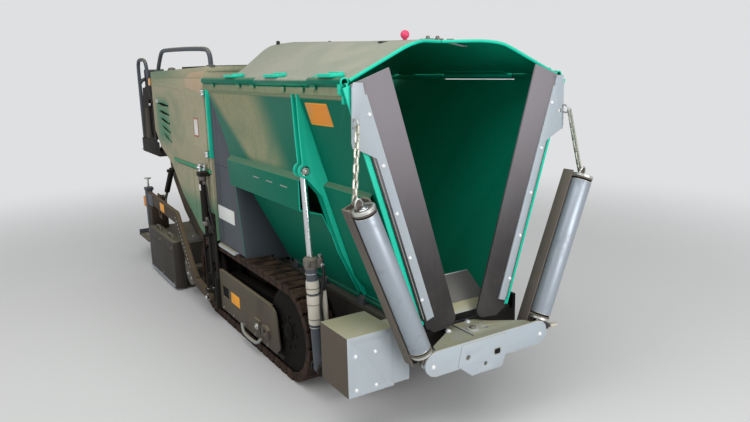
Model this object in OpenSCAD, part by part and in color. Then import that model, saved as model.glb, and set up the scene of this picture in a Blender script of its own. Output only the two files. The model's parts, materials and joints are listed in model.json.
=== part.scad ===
// Tracked asphalt paver in its transport state: hopper wings raised, wing covers
// folded in, push rollers folded up, screed in. Front at -Y, its left side at +X.
// Distances "d" run back from the hopper front edge, heights from the ground.

/* [Whole machine] */
// y of the hopper front edge
front_y = -2175; // [-2400:5:-1900]
// gap left at sliding and turning fits
fit = 0.3; // [0.2:0.1:0.6]

/* [Hopper] */
// half distance between the wing foot hinges
foot_x = 262; // [240:2:280]
// height of the wing foot hinges
foot_z = 548; // [540:2:560]
// half distance between the cover hinge tubes
top_x = 664; // [640:2:690]
// height of the cover hinge tubes
top_z = 1785; // [1740:5:1820]
// length of a wing along its hinge tube
wing_len = 1955; // [1800:5:1985]
// thickness of the wing plates
wing_t = 8; // [6:1:12]
// outer radius of the cover hinge tube
tube_r = 22; // [20:1:26]
// half width of the flat middle of the covers
cover_flat = 257; // [220:1:300]
// height of the covers over the hinge tubes
cover_rise = 185; // [160:5:210]
// width of the rubber seal bands inside the wings
seal_w = 216; // [200:2:220]

/* [Push bar] */
// half length of the push bar
bar_x = 400; // [360:5:420]
// height of the push bar centre
bar_z = 455; // [450:1:458]
// distance of the push bar front ahead of the hopper
bar_d = 200; // [190:5:230]
// radius of the push rollers
push_r = 54; // [48:1:54]
// length of the push rollers
push_len = 745; // [700:5:760]
// lean of the folded rollers from upright
push_lean = 22; // [20:0.5:24]

/* [Tracks] */
// half distance between the outer faces of the tracks
track_out = 612; // [600:2:614]
// width of a track
track_w = 180; // [160:5:190]
// radius over the shoes at the track ends
track_r = 300; // [285:5:305]
// d of the front idler axle
idler_d = 925; // [900:5:960]
// d of the rear sprocket axle
sprocket_d = 2295; // [2250:5:2330]
// number of shoes on a track
shoe_n = 46; // [40:1:52]

/* [Body] */
// half width of the engine housing
body_x = 618; // [600:2:630]
// height of the bonnet
bonnet_z = 1880; // [1820:10:1920]
// d of the front of the engine housing
body_d0 = 2105; // [2095:5:2130]
// d of the rear of the engine housing
body_d1 = 3655; // [3600:5:3700]
// thickness of the sheet panels
sheet = 4; // [3:0.5:6]
// height of the operator floor
floor_z = 1100; // [1060:10:1140]

/* [Screed] */
// half width of the screed body
screed_x = 700; // [680:5:720]
// d of the screed front
screed_d0 = 2985; // [2970:5:3010]
// d of the rear edge of the screed walkway
screed_d1 = 4550; // [4450:10:4650]
// half distance between the tow arm outer faces
arm_x = 690; // [680:2:700]
// thickness of the tow arms
arm_t = 32; // [24:2:40]
// radius of the augers
auger_r = 150; // [130:5:170]

/* [Hidden] */
$fn = 48;
cover_z = top_z + cover_rise;
lean = atan2(top_x - foot_x, top_z - foot_z);
track_in = track_out - track_w;
track_z = track_r;
lug_h = 14;
rail_r = 17;
belt_r = track_r - lug_h;
bore_r = belt_r - 22;
chassis_x = 415;
deck_z = 500;
tunnel_x = 240;
slat_z = deck_z + 12;
tow_d = body_d0 + 90;
tow_z = 170;
eye_d = 550;
eye = [636, 1333];
eye_play = 26;
cyl_foot = [588, 212];
auger_d = sprocket_d + 505;
auger_z = 235;
deck_d1 = body_d1 + 645;
pivot = [bar_x - 40, bar_z - 15];
guide_d = [3420, 3620];
guide_z = 262;
door_z0 = 1150;
door_z1 = 1800;
hinge_d = body_d0 + 35;
hinge_x = body_x + 15;
hinge_z = [1240, 1680];

// upright plan turned so that [d, z] points extrude along x
module side(pts, x0, x1) {
  translate([x0, front_y, 0]) rotate([90, 0, 90]) linear_extrude(x1 - x0) polygon(pts);
}

// [x, z] points extruded along y between two d values
module front(pts, d0, d1) {
  translate([0, front_y + d1, 0]) rotate([90, 0, 0]) linear_extrude(d1 - d0) polygon(pts);
}

module box(x0, x1, d0, d1, z0, z1) {
  translate([x0, front_y + d0, z0]) cube([x1 - x0, d1 - d0, z1 - z0]);
}

// round bar between two [x, d, z] points
module rod(p, q, r) {
  v = q - p;
  translate([p[0], front_y + p[1], p[2]])
    rotate([0, acos(v[2] / norm(v)), atan2(v[1], v[0])]) cylinder(h = norm(v), r = r);
}

module along_x(x0, x1, d, z, r) {
  translate([x0, front_y + d, z]) rotate([0, 90, 0]) cylinder(h = x1 - x0, r = r);
}

module along_y(x, d0, d1, z, r) {
  translate([x, front_y + d1, z]) rotate([90, 0, 0]) cylinder(h = d1 - d0, r = r);
}

module pair() {
  children();
  mirror([1, 0, 0]) children();
}

// flat strip of thickness t between two plan points
function strip(p, q, t) =
  let (v = (q - p) / norm(q - p), n = [-v[1], v[0]] * t / 2) [p + n, q + n, q - n, p - n];

function unit(v) = v / norm(v);

// one side of a folded line, moved out by o with mitred corners
function edge(p, o) = [for (i = [0 : len(p) - 1])
  let (a = unit(i == 0 ? p[1] - p[0] : p[i] - p[i - 1]),
    b = unit(i == len(p) - 1 ? p[i] - p[i - 1] : p[i + 1] - p[i]),
    m = [-a[1] - b[1], a[0] + b[0]])
  p[i] + m * 2 * o / (m * m)];

// points of a circle arc round c
function arc(c, r, a0, a1, n = 6) =
  [for (i = [0 : n]) c + r * [cos(a0 + (a1 - a0) * i / n), sin(a0 + (a1 - a0) * i / n)]];

function back(p) = [for (i = [len(p) - 1 : -1 : 0]) p[i]];

// folded sheet of thickness t along plan points
function ribbon(p, t) = concat(edge(p, t / 2), back(edge(p, -t / 2)));

// d of the back face of the hopper rear wall at height z
function wall_d(z) = z < 1262 ? 1588 + (z - 560) * 140 / 702 : 1728 + (z - 1262) * 310 / 478;

// point on the wing plate line at height z
function on_wing(z, off = 0) = [foot_x + (z - foot_z) * tan(lean) + off / cos(lean), z];

// chassis

module chassis_frame() {
  beam = [[60, 150], [60, 585], [1580, 585], [1580, 600], [2148, 600], [2148, deck_z], [2935, deck_z],
    [2935, 420], [auger_d - 180, 420], [auger_d - 240, 150]];
  color("#3a3633") {
    difference() {
      side(beam, -chassis_x, chassis_x);
      side([[80, 165], [80, 700], [3000, 700], [3000, 415], [auger_d - 200, 415], [auger_d - 256, 165]],
        -chassis_x + 20, chassis_x - 20);
      box(-chassis_x + 20, chassis_x - 20, 50, 90, deck_z, 620);
    }
    for (d = [600, 1100, 1600, 2200, 2500]) {
      difference() {
        box(-chassis_x + 20, chassis_x - 20, d, d + 12, 165, deck_z);
        box(-250, 250, d - 1, d + 13, 260, 420);
      }
    }
    // hitch for the push bar
    difference() {
      box(-70, 70, -110, 60, bar_z - 65, bar_z + 35);
      box(-80, 80, -120, 20, bar_z - 30, bar_z + 18);
      along_z(0, -60, 300, 600, 20 + fit);
    }
    // feet of the wing cylinders
    pair() for (d = [eye_d - 50, eye_d + 33]) {
      difference() {
        front(concat([[414, 340], [414, 150]], arc(cyl_foot, 36, -80, 80)), d, d + 17);
        along_y(cyl_foot[0], d - 1, d + 18, cyl_foot[1], 10);
      }
    }
    pair() along_y(cyl_foot[0], eye_d - 52, eye_d + 52, cyl_foot[1], 15);
  }
}

module hopper_deck() {
  color("#45484a") {
    box(-chassis_x + 20, chassis_x - 20, 80, 2148, deck_z, slat_z);
    box(-tunnel_x - 8, tunnel_x + 8, 2140, 2870, deck_z, slat_z);
    // tunnel walls to the augers
    pair() box(tunnel_x, tunnel_x + 8, 1640, 2920, slat_z - 4, 768);
    box(-tunnel_x - 2, tunnel_x + 2, 1700, 2920, 760, 768);
    // hinge blocks of the wing feet
    pair() for (d = [100, 560, 1020, 1440]) {
      difference() {
        front([[foot_x - 24, slat_z - 4], [foot_x - 20, foot_z], [foot_x, foot_z + 20],
          [foot_x + 20, foot_z], [foot_x + 30, slat_z - 4]], d, d + 60);
        along_y(foot_x, d - 1, d + 61, foot_z, 10 + fit);
      }
    }
    pair() along_y(foot_x, 86, 1530, foot_z, 10);
  }
}

module conveyor() {
  color("#56534e") {
    for (i = [0 : 23]) {
      box(-222, 222, 290 + i * 110, 320 + i * 110, slat_z + 8, slat_z + 24);
    }
    for (x = [-228, -12, 204]) {
      box(x, x + 24, 275, 2860, slat_z, slat_z + 12);
    }
    along_x(-chassis_x + 20, chassis_x - 20, 2900, slat_z - 44, 24);
    for (x = [-216, 0, 216]) along_x(x - 12, x + 12, 2900, slat_z - 44, 34);
  }
}

module hopper_rear_wall() {
  color("#1c6b52") {
    difference() {
      side([[wall_d(560) - 8, 560], [wall_d(560), 560], [wall_d(1262), 1262], [wall_d(1740), 1740],
        [wall_d(1740), 1755], [wall_d(1740) - 10, 1755], [wall_d(1262) - 8, 1266]], -600, 600);
      box(-tunnel_x + 2, tunnel_x - 2, 1500, 1750, 500, 770);
      pair() box(chassis_x - 21, 700, 1500, 1700, 500, 612);
    }
    pair() side([[wall_d(770) + 0.1, 770], [wall_d(1262), 1262], [wall_d(1735), 1735], [2060, 1735],
      [2060, 770]], 430, 438);
  }
}

module hopper_apron() {
  color("#8f9ba3") {
    side([[82, slat_z], [60, 560], [250, 700], [262, 700], [262, 708], [246, 708], [50, 564],
      [72, slat_z]], -225, 225);
    pair() side([[80, slat_z], [62, 556], [250, 699], [262, 699], [262, slat_z]], 219, 225);
  }
}

module side_posts() {
  color("#4b5055") pair() {
    difference() {
      side([[wall_d(612) + fit, 612], [wall_d(1262) + fit, 1262], [wall_d(1735) + fit, 1735],
        [2095, 1735], [2095, 612]], 448, 600);
      side([[wall_d(600) + 5, 600], [wall_d(1262) + 5, 1262], [wall_d(1735) + 5, 1728], [2090, 1728],
        [2090, 600]], 453, 595);
    }
    box(415, 454, 1640, 2090, 600, 620);
  }
}

module front_weight() {
  color("#4a4743") {
    difference() {
      box(-705, -445, 12, 285, 292, 600);
      for (x = [-670, -480], z = [320, 560]) along_y(x, 11, 40, z, 9);
    }
    box(-445, -415, 80, 240, 330, 500);
  }
}

// tracks

function loop_pt(s) =
  let (l = sprocket_d - idler_d, c = PI * belt_r, p = s % (2 * l + 2 * c))
  p < l ? [idler_d + p, track_z - belt_r, 270]
  : p < l + c ? let (a = -90 + (p - l) / c * 180)
    [sprocket_d + belt_r * cos(a), track_z + belt_r * sin(a), a]
  : p < 2 * l + c ? [sprocket_d - (p - l - c), track_z + belt_r, 90]
  : let (a = 90 + (p - 2 * l - c) / c * 180)
    [idler_d + belt_r * cos(a), track_z + belt_r * sin(a), a];

module stadium(r) {
  translate([idler_d, track_z]) circle(r);
  translate([sprocket_d, track_z]) circle(r);
  translate([idler_d, track_z - r]) square([sprocket_d - idler_d, 2 * r]);
}

module track_belt() {
  total = 2 * (sprocket_d - idler_d) + 2 * PI * belt_r;
  translate([track_in, front_y, 0]) rotate([90, 0, 90]) linear_extrude(track_w) {
    difference() {
      stadium(belt_r);
      stadium(bore_r);
    }
    for (i = [0 : shoe_n - 1]) {
      p = loop_pt(i * total / shoe_n);
      translate([p[0], p[1]]) rotate(p[2]) translate([-3, -30]) square([lug_h + 3, 60]);
    }
  }
}

module tracks() {
  color("#3c3029") pair() track_belt();
}

module wheel_set(x0, x1) {
  for (d = [idler_d, sprocket_d]) {
    difference() {
      along_x(x0, x1, d, track_z, bore_r - 0.3);
      along_x(x0 + 25, x1 - 25, d, track_z, bore_r + 5);
    }
    along_x(x0 + 25, x1 - 25, d, track_z, bore_r - 60);
    along_x(chassis_x, x1 + 6, d, track_z, 45);
  }
  for (d = [idler_d + 270 : 205 : sprocket_d - 200]) {
    along_x(x0, x1, d, track_z - bore_r + 80.3, 80);
    along_x(chassis_x, x1 + 10, d, track_z - bore_r + 80.3, 22);
  }
}

module track_gear() {
  color("#33302d") pair() {
    wheel_set(track_in + 25, track_out - 20);
    side([[idler_d, track_z - 30], [sprocket_d, track_z - 30], [sprocket_d, track_z + 60],
      [idler_d + 200, track_z + 130], [idler_d, track_z + 60]], track_in + 55, track_out - 60);
    along_x(chassis_x, track_in + 60, 1600, track_z + 60, 40);
  }
}

module track_guards() {
  rear = sprocket_d - 215;
  nose = idler_d + 110;
  color("#4a4540") pair() {
    difference() {
      side(concat([[rear, 110], [rear, 410]], arc([nose + 80, 330], 80, 90, 180),
        [[nose - 25, 160], [nose + 30, 110]]), track_out + 6, track_out + 16);
      box(track_out, track_out + 20, rear - 175, rear - 45, 215, 300);
    }
    // ledge along the top and the bolted bracket
    box(track_out - 8, track_out + 16, nose + 100, rear, 404, 410);
    box(track_out + 15, track_out + 30, 1300, 1390, 165, 255);
    for (d = [idler_d + 270 : 205 : sprocket_d - 200]) {
      along_x(track_out - 10, track_out + 7, d, track_z - bore_r + 80.3, 20);
    }
    // tie-down eyes
    difference() {
      side([[1150, 180], [1150, 240], [1190, 260], [1260, 240], [1260, 180]], track_out + 16,
        track_out + 36);
      along_x(track_out, track_out + 50, 1200, 215, 20);
    }
  }
}

// engine body

module engine_block() {
  color("#2d2f30") {
    box(-260, 260, body_d0 + 345, body_d1 - 515, 1110, 1560);
    pair() box(190, 250, body_d0 + 375, body_d0 + 595, 768, 1112);
  }
}

body_side = [[body_d0, 620], [body_d0, bonnet_z], [body_d1, bonnet_z - 25],
  [body_d1 + 5, 1340], [3500, 1200], [3180, 1080], [2900, 850], [2500, 640], [2440, 620]];

module engine_housing() {
  color("#a3a283") {
    difference() {
      side(body_side, -body_x, body_x);
      side([[body_d0 + sheet, 600], [body_d0 + sheet, bonnet_z - sheet],
        [body_d1 - sheet, bonnet_z - 25 - sheet], [body_d1 + 1, 1340], [3498, 1205],
        [3178, 1085], [2898, 855], [2498, 645], [2430, 600]], -body_x + sheet, body_x - sheet);
      side(door_pts(-12), -body_x - 10, body_x + 10);
      box(-430, 430, body_d0 + 250, body_d1 - 350, bonnet_z - 60, bonnet_z + 10);
      box(-450, 450, body_d0 + 42, 3000, 600, 790);
      box(-tunnel_x - 12, tunnel_x + 12, body_d0 - 5, body_d0 + 50, 600, 772);
    }
    pair() box(300, 390, body_d0, body_d0 + 42, slat_z, 640);
    pair() box(398, 412, 2300, 2440, deck_z, 618);
    pair() box(398, body_x - 1, 2300, 2440, 612, 620);
    // hinge pins of the side doors
    pair() for (z = hinge_z) {
      along_z(hinge_x, hinge_d, z - 8, z + 48, 8);
      for (e = [z - 12, z + 46]) box(body_x - 1, hinge_x + 12, hinge_d - 12, hinge_d + 12, e, e + 6);
    }
  }
}

module bonnet_grille() {
  d0 = body_d0 + 250;
  d1 = body_d1 - 350;
  pitch = (d1 - d0 - 62) / 20;
  color("#26292a") {
    difference() {
      box(-430, 430, d0, d1, bonnet_z - 30, bonnet_z + 10);
      box(-405, 405, d0 + 25, d1 - 25, bonnet_z - 31, bonnet_z + 11);
    }
    for (i = [0 : 19]) {
      box(-410, 410, d0 + 38 + i * pitch, d0 + 52 + i * pitch, bonnet_z - 12, bonnet_z + 6);
    }
  }
}

// outline of the side doors, grown by m
function door_pts(m) = [[body_d0 + 50 - m, door_z0 - m], [body_d0 + 50 - m, door_z1 + m],
  [body_d1 - 165, door_z1 + m], [body_d1 - 125 + m, door_z1 - 40], [body_d1 - 125 + m, 1400 - m],
  [body_d1 - 190 + m, 1300 - m], [body_d1 - 325, 1225 - m], [body_d1 - 575, door_z0 - m]];

module door_panel() {
  difference() {
    side(door_pts(0), body_x + 1, body_x + 6);
    // leaf louvres
    for (i = [0 : 4]) {
      a = [body_d1 - 175 - i * 26, 1585 - i * 62];
      b = [body_d1 - 530 - i * 4, 1570 - i * 76];
      n = [b[1] - a[1], a[0] - b[0]] / norm(b - a);
      side([a, a * 0.6 + b * 0.4 + n * 16, b + n * 8, b - n * 6, a * 0.6 + b * 0.4 - n * 12],
        body_x, body_x + 10);
    }
  }
}

module door_left() {
  color("#a3a283") difference() {
    union() {
      door_panel();
      for (z = hinge_z) {
        along_z(hinge_x, hinge_d, z, z + 40, 14);
        box(body_x + 1, body_x + 6, hinge_d, body_d0 + 80, z, z + 40);
      }
    }
    for (z = hinge_z) along_z(hinge_x, hinge_d, z - 1, z + 41, 8 + fit);
  }
}

module door_right() {
  mirror([1, 0, 0]) door_left();
}

module tow_guides() {
  color("#3a3633") pair() {
    difference() {
      box(body_x, body_x + 12, tow_d - 89, tow_d + 95, 90, 820);
      along_x(600, 700, tow_d + 3, 400, 45);
    }
    for (d = [tow_d - 89, tow_d + 76]) box(body_x + 11, body_x + 37, d, d + 19, 90, 330);
    // levelling cylinder barrels
    difference() {
      along_z(665, tow_d, 730, 1110, 26);
      along_z(665, tow_d, 720, 950, 12 + fit);
    }
    box(body_x, 695, tow_d - 40, tow_d + 40, 1100, 1130);
    box(body_x + 11, 642, tow_d - 20, tow_d + 20, 770, 800);
  }
}

module along_z(x, d, z0, z1, r) {
  translate([x, front_y + d, z0]) cylinder(h = z1 - z0, r = r);
}

module operator_deck() {
  color("#4b5055") {
    box(-600, 600, body_d1 + 6, deck_d1, floor_z - 12, floor_z);
    pair() side([[2860, deck_z], [2925, deck_z], [2930, 720], [3230, 1020], [deck_d1 - 20, floor_z - 70],
      [deck_d1 - 20, floor_z - 11], [3650, floor_z - 11], [3190, 1070], [2925, 855], [2860, 800]], 396, 412);
    pair() box(592, 600, body_d1 + 6, deck_d1, floor_z - 1, floor_z + 120);
    box(-400, 400, deck_d1 - 8, deck_d1, floor_z - 1, floor_z + 120);
    // side guards beside the console
    guard_d = body_d1 + 187;
    pair() difference() {
      side(concat([[guard_d + 117, floor_z - 1]], arc([guard_d, 1690], 117, 0, 180, 12),
        [[guard_d - 117, floor_z - 1]]), 592, 600);
      side(concat(arc([guard_d, 1560], 52, 0, 180, 8), arc([guard_d, 1300], 52, 180, 360, 8)),
        590, 602);
    }
    // cross shaft of the screed lift cylinders
    pair() along_x(397, 650, lift_foot[0], lift_foot[1], 14);
  }
}

module console() {
  color("#3f4244") {
    side([[body_d1 + 10, 1500], [body_d1 + 10, 1680], [body_d1 + 60, 1720], [body_d1 + 260, 1640],
      [body_d1 + 260, 1600]], -535, 535);
    for (x = [-300, 260]) box(x, x + 40, body_d1 + 20, body_d1 + 60, floor_z, 1510);
  }
}

// quarter or part bend of a tube at corner p, from direction a to b
module elbow(p, a, b, turn, r) {
  th = acos(a * b);
  x = (cos(th) * a - b) / sin(th);
  z = cross(x, a);
  c = p - turn * tan(th / 2) * a - turn * x;
  multmatrix([[x[0], a[0], z[0], c[0]], [x[1], a[1], z[1], c[1]], [x[2], a[2], z[2], c[2]]])
    rotate_extrude(angle = th) translate([turn, 0]) circle(r);
}

// bent tube through [x, d, z] points with bends of radius turn
module rail(pts, r = rail_r, turn = 60) {
  n = len(pts) - 1;
  dir = [for (i = [0 : n - 1]) unit(pts[i + 1] - pts[i])];
  cut = [for (i = [0 : n]) i == 0 || i == n ? 0 : turn * tan(acos(dir[i - 1] * dir[i]) / 2)];
  for (i = [0 : n - 1]) rod(pts[i] + dir[i] * cut[i], pts[i + 1] - dir[i] * cut[i + 1], r);
  translate([0, front_y, 0]) for (i = [1 : n - 1]) elbow(pts[i], dir[i - 1], dir[i], turn, r);
}

function bonnet_top(d) = bonnet_z - 25 * (d - body_d0) / (body_d1 - body_d0) + 0.3;

module hand_rails() {
  color("#3a3d3f") {
    pair() {
      rail([[590, body_d0 + 1045, bonnet_top(body_d0 + 1045)], [590, body_d0 + 1045, 2030],
        [590, body_d0 + 25, 2030], [590, body_d0 + 25, bonnet_top(body_d0 + 25)]]);
      rail([[575, body_d1 + 45, floor_z], [575, body_d1 + 45, 1960], [575, deck_d1 - 20, 1960]]);
    }
    rail([[-575, deck_d1 - 30, floor_z], [-575, deck_d1 - 30, 1960], [575, deck_d1 - 30, 1960],
      [575, deck_d1 - 30, floor_z]]);
  }
}

module auger_hanger() {
  color("#3a3633") {
    box(-60, 60, auger_d - 60, auger_d + 60, 390, 440);
    box(-50, 50, auger_d - 40, auger_d + 40, auger_z - 70, 400);
    box(-chassis_x + 20, chassis_x - 20, auger_d - 30, auger_d + 30, 430, deck_z);
    pair() difference() {
      box(chassis_x - 15, chassis_x + 5, auger_d - 45, auger_d + 45, auger_z - 60, 420);
      along_x(390, 430, auger_d, auger_z, 30 + fit);
    }
  }
}

// wings

wing_side = [[0, foot_z - 40], [0, top_z + 40], [wing_len + 30, top_z + 40],
  [wing_len + 30, top_z], [1660, 1280], [1545, 600], [1545, foot_z - 40]];

chain_hook = [top_x - 33, top_z - 188];

skin_pts = [[top_x - 6, top_z - 30], [616, 1300], [650, 1275], [650, 1115], [520, 1075],
  [foot_x + 34, foot_z + 40]];

// outline of the rib plates that carry the cylinder eye
rib_pts = concat([on_wing(foot_z + 45, 8), on_wing(top_z - 40, 8), [668, 1730], [659, 1518]],
  arc(eye, 40, 70, -95), [[545, 1190], [433, 855], [306, 590]]);

// sheet that stiffens the wing ahead of the ribs
brow_pts = [on_wing(1262, 10), on_wing(1244, 44), on_wing(720, 44), on_wing(655, 20)];

module wing_left() {
  color("#1aa37e") difference() {
    union() {
      intersection() {
        union() {
          front(strip(on_wing(foot_z + 20, 8), on_wing(top_z - 4, 8), wing_t), 0, 2000);
          front(ribbon(skin_pts, 6), eye_d + 28, 2000);
        }
        side(wing_side, 0, 900);
      }
      intersection() {
        front(ribbon(brow_pts, 6), 60, eye_d - 28);
        side(concat([[60, 600]], arc([100, 1225], 40, 180, 90, 4), [[eye_d, 1265], [eye_d, 600]]),
          250, 700);
      }
      // front flange behind the rubber seal
      front(strip(on_wing(foot_z + 30, -11), on_wing(top_z - 12, -11), 82), 0, 8);
      // ribs with the lugs of the cylinder eye
      for (d = [eye_d - 34, eye_d + 22]) front(rib_pts, d, d + 12);
      // flange and hinge tube
      box(top_x - 6, top_x + 6, 60, 1985, top_z - 60, top_z - 10);
      front([[top_x - 14, top_z - 12], on_wing(top_z - 95, 4), [top_x + 4, top_z - 95],
        [top_x + 4, top_z - 62], [top_x + 24, top_z - 50], [top_x + 24, top_z - 8]], 34, 52);
      for (s = [[30, 360], [1035, 1985]]) {
        along_y(top_x, s[0], s[1], top_z, tube_r);
      }
      // foot knuckles
      for (s = [[170, 550], [630, 1010], [1090, 1430]]) {
        along_y(foot_x, s[0], s[1], foot_z, 18);
        front(strip([foot_x + 2, foot_z + 8], on_wing(foot_z + 44, 8), 12), s[0], s[1]);
      }
    }
    for (d = [eye_d - 34, eye_d + 22]) along_y(eye[0], d - 1, d + 13, eye[1], eye_play);
    for (s = [[169, 551], [629, 1011], [1089, 1431]]) {
      along_y(foot_x, s[0], s[1], foot_z, 10 + fit);
    }
    along_y(top_x, 360.2, 1034.8, top_z, tube_r + 5);
    along_y(top_x, 20, 300, top_z, tube_r - 6);
  }
  color("#1aa37e") along_y(top_x, 350, 1040, top_z, 10);
}

module wing_right() {
  mirror([1, 0, 0]) wing_left();
}

module seal_left() {
  top = on_wing(top_z + 60) - [seal_w + 12, 0];
  low = on_wing(foot_z + 52) - [seal_w - 12, 0];
  color("#4f4b4d") front(concat([on_wing(foot_z + 10, -6), on_wing(top_z - 10, -6), top],
    arc(low + [44, -22], 46, 162, 268), [[foot_x - 52, foot_z - 24]]), -12, 0);
}

module seal_right() {
  mirror([1, 0, 0]) seal_left();
}

// clamp strip of the seal with the ear that the chain hooks into
module strip_left() {
  ear = [[top_x - 6, top_z - 288], [top_x - 19, top_z - 288], on_wing(top_z - 345, -20),
    on_wing(top_z - 5, -60), [top_x - 81, top_z - 5], [top_x - 19, top_z],
    [top_x - 9, top_z - 25], [top_x - 2, top_z - 262]];
  color("#aab4bb") difference() {
    union() {
      front(strip(on_wing(foot_z + 60, -40), on_wing(top_z - 60, -40), 46), -20, -12);
      front(ear, -20, -12);
    }
    along_y(chain_hook[0], -30, 0, chain_hook[1], 12);
  }
}

module strip_right() {
  mirror([1, 0, 0]) strip_left();
}

module cover_left() {
  plan = [[5, 208], [cover_flat, 60], [top_x, 30], [top_x + 40, 30],
    [top_x + 40, 1500], [500, 1610], [cover_flat, 1780], [5, 1930]];
  edge_pt = [top_x - 28, top_z + 12];
  rise = atan2(cover_z - edge_pt[1], edge_pt[0] - cover_flat);
  bend_r = 430;
  bend = concat([edge_pt],
    arc([cover_flat - bend_r * tan(rise / 2), cover_z - bend_r], bend_r, 90 - rise, 90, 5),
    [[3, cover_z]]);
  color("#12614a") {
    intersection() {
      front(ribbon(bend, 5), 0, 2000);
      translate([0, front_y, 1000]) linear_extrude(2000)
        polygon(plan);
    }
    difference() {
      union() {
        along_y(top_x, 365, 1030, top_z, tube_r);
        front(strip([top_x - 10, top_z + 8], [top_x - 60, top_z + 28], 14), 400, 1000);
      }
      along_y(top_x, 360, 1035, top_z, 10 + fit);
    }
  }
}

module cover_right() {
  mirror([1, 0, 0]) cover_left();
}

cyl_v = eye - cyl_foot;
cyl_tilt = atan2(cyl_v[0], cyl_v[1]);

module at_cyl() {
  translate([cyl_foot[0], front_y + eye_d, cyl_foot[1]]) rotate([0, cyl_tilt, 0]) children();
}

module wing_barrel_left() {
  color("#33383a") at_cyl() difference() {
    union() {
      translate([0, 0, 20]) cylinder(h = 620, r = 32);
      rotate([90, 0, 0]) translate([0, 0, -24]) cylinder(h = 48, r = 28);
    }
    rotate([90, 0, 0]) translate([0, 0, -40]) cylinder(h = 80, r = 15 + fit);
    translate([0, 0, 60]) cylinder(h = 600, r = 18 + fit);
  }
}

module wing_barrel_right() {
  mirror([1, 0, 0]) wing_barrel_left();
}

module wing_rod_left() {
  color("#c8ccd0") at_cyl() {
    translate([0, 0, 330]) cylinder(h = norm(cyl_v) - 350, r = 18);
    translate([0, 0, norm(cyl_v)]) rotate([90, 0, 0]) {
      translate([0, 0, -16]) cylinder(h = 32, r = 27);
      translate([0, 0, -34]) cylinder(h = 68, r = 12);
    }
  }
}

module wing_rod_right() {
  mirror([1, 0, 0]) wing_rod_left();
}

// push bar and rollers

carrier_d = push_r - bar_d;

module push_bar() {
  color("#aab4bb") {
    difference() {
      union() {
        // front plate with round ends
        front(concat(arc([bar_x - 65, bar_z], 65, -90, 90), arc([65 - bar_x, bar_z], 65, 90, 270)),
          -bar_d + 6, -bar_d + 18);
        front([[-205, bar_z - 50], [-118, bar_z - 118], [76, bar_z - 118], [105, bar_z - 50],
          [105, bar_z + 56], [-180, bar_z + 56]], -bar_d, -bar_d + 7);
        box(-118, 76, -bar_d + 6, -bar_d + 60, bar_z - 118, bar_z - 50);
        box(-bar_x + 85, bar_x - 85, -bar_d + 17, -bar_d + 70, bar_z - 55, bar_z + 43);
        tongue();
        top_plate();
      }
      // towing slot and pin holes of the front plate
      box(28, 64, -bar_d - 1, -bar_d + 72, bar_z - 40, bar_z - 14);
      along_y(-144, -bar_d - 1, -bar_d + 30, bar_z - 15, 14);
      along_y(-30, -bar_d - 1, -bar_d + 72, bar_z - 75, 12);
    }
    along_z(0, -60, bar_z - 72, bar_z + 56, 20);
    along_z(0, -60, bar_z + 54, bar_z + 62, 32);
    // lugs of the roller carriers
    pair() difference() {
      front(concat([[bar_x - 90, pivot[1] - 24]], arc(pivot, 24, -90, 90),
        [[bar_x - 90, pivot[1] + 24]]), carrier_d - 10, carrier_d + 10);
      along_y(pivot[0], carrier_d - 15, carrier_d + 15, pivot[1], 12 + fit);
    }
  }
}

// plate that swings between the cheeks of the hitch
module tongue() {
  translate([0, front_y, bar_z - 25]) linear_extrude(38)
    polygon([[-300, -bar_d + 18], [300, -bar_d + 18], [55, -15], [-55, -15]]);
}

module top_plate() {
  plan = [[-325, -bar_d + 17], [325, -bar_d + 17], [300, -120], [140, -20], [95, 44], [-95, 44],
    [-140, -20], [-300, -120]];
  translate([0, front_y, bar_z + 41]) linear_extrude(14) difference() {
    polygon(plan);
    translate([42, 20]) circle(10);
    translate([74, -77]) circle(12);
    translate([-59, -132]) square([13, 180]);
  }
}

module at_carrier() {
  translate([pivot[0], front_y + carrier_d, pivot[1]]) rotate([0, push_lean, 0]) children();
}

// end plate of a carrier with its round nose
module carrier_end(z) {
  translate([0, 0, z]) cylinder(h = 10, r = push_r);
  translate([-push_r, 0, z]) cube([2 * push_r, 90, 10]);
}

module carrier_left() {
  color("#7f8a92") at_carrier() {
    difference() {
      union() {
        for (y = [-30, 14]) {
          translate([-24, y, 0]) cube([48, 16, 90]);
          translate([0, y + 16, 0]) rotate([90, 0, 0]) cylinder(h = 16, r = 24);
        }
        // channel behind the roller
        translate([-60, 82, 20]) cube([120, 8, push_len + 124]);
        for (x = [-60, 52]) translate([x, 24, 20]) cube([8, 66, push_len + 124]);
        for (z = [84, push_len + 114]) carrier_end(z);
        translate([-6, 20, push_len + 122]) cube([32, 10, 52]);
      }
      translate([0, 0, 60]) cylinder(h = push_len + 140, r = 12 + fit);
    }
    translate([10, 52, push_len + 160]) rotate([90, 0, 0]) cylinder(h = 24, r = 3.5);
    rotate([90, 0, 0]) translate([0, 0, -31]) cylinder(h = 62, r = 12);
  }
}

module carrier_right() {
  mirror([1, 0, 0]) carrier_left();
}

module push_roller_left() {
  color("#8b959c") at_carrier() {
    translate([0, 0, 104]) cylinder(h = push_len, r = push_r);
    translate([0, 0, 76]) cylinder(h = push_len + 54, r = 12);
  }
}

module push_roller_right() {
  mirror([1, 0, 0]) push_roller_left();
}

// pin of the chain on the folded carrier, and where the chain ends by the ear
chain_at = [pivot[0] + 10 * cos(push_lean) + (push_len + 160) * sin(push_lean),
  front_y + carrier_d + 40, pivot[1] - 10 * sin(push_lean) + (push_len + 160) * cos(push_lean)];
chain_v = [chain_hook[0] + 26, front_y - 62, chain_hook[1] + 4] - chain_at;
link_pitch = 33.8;

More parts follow.
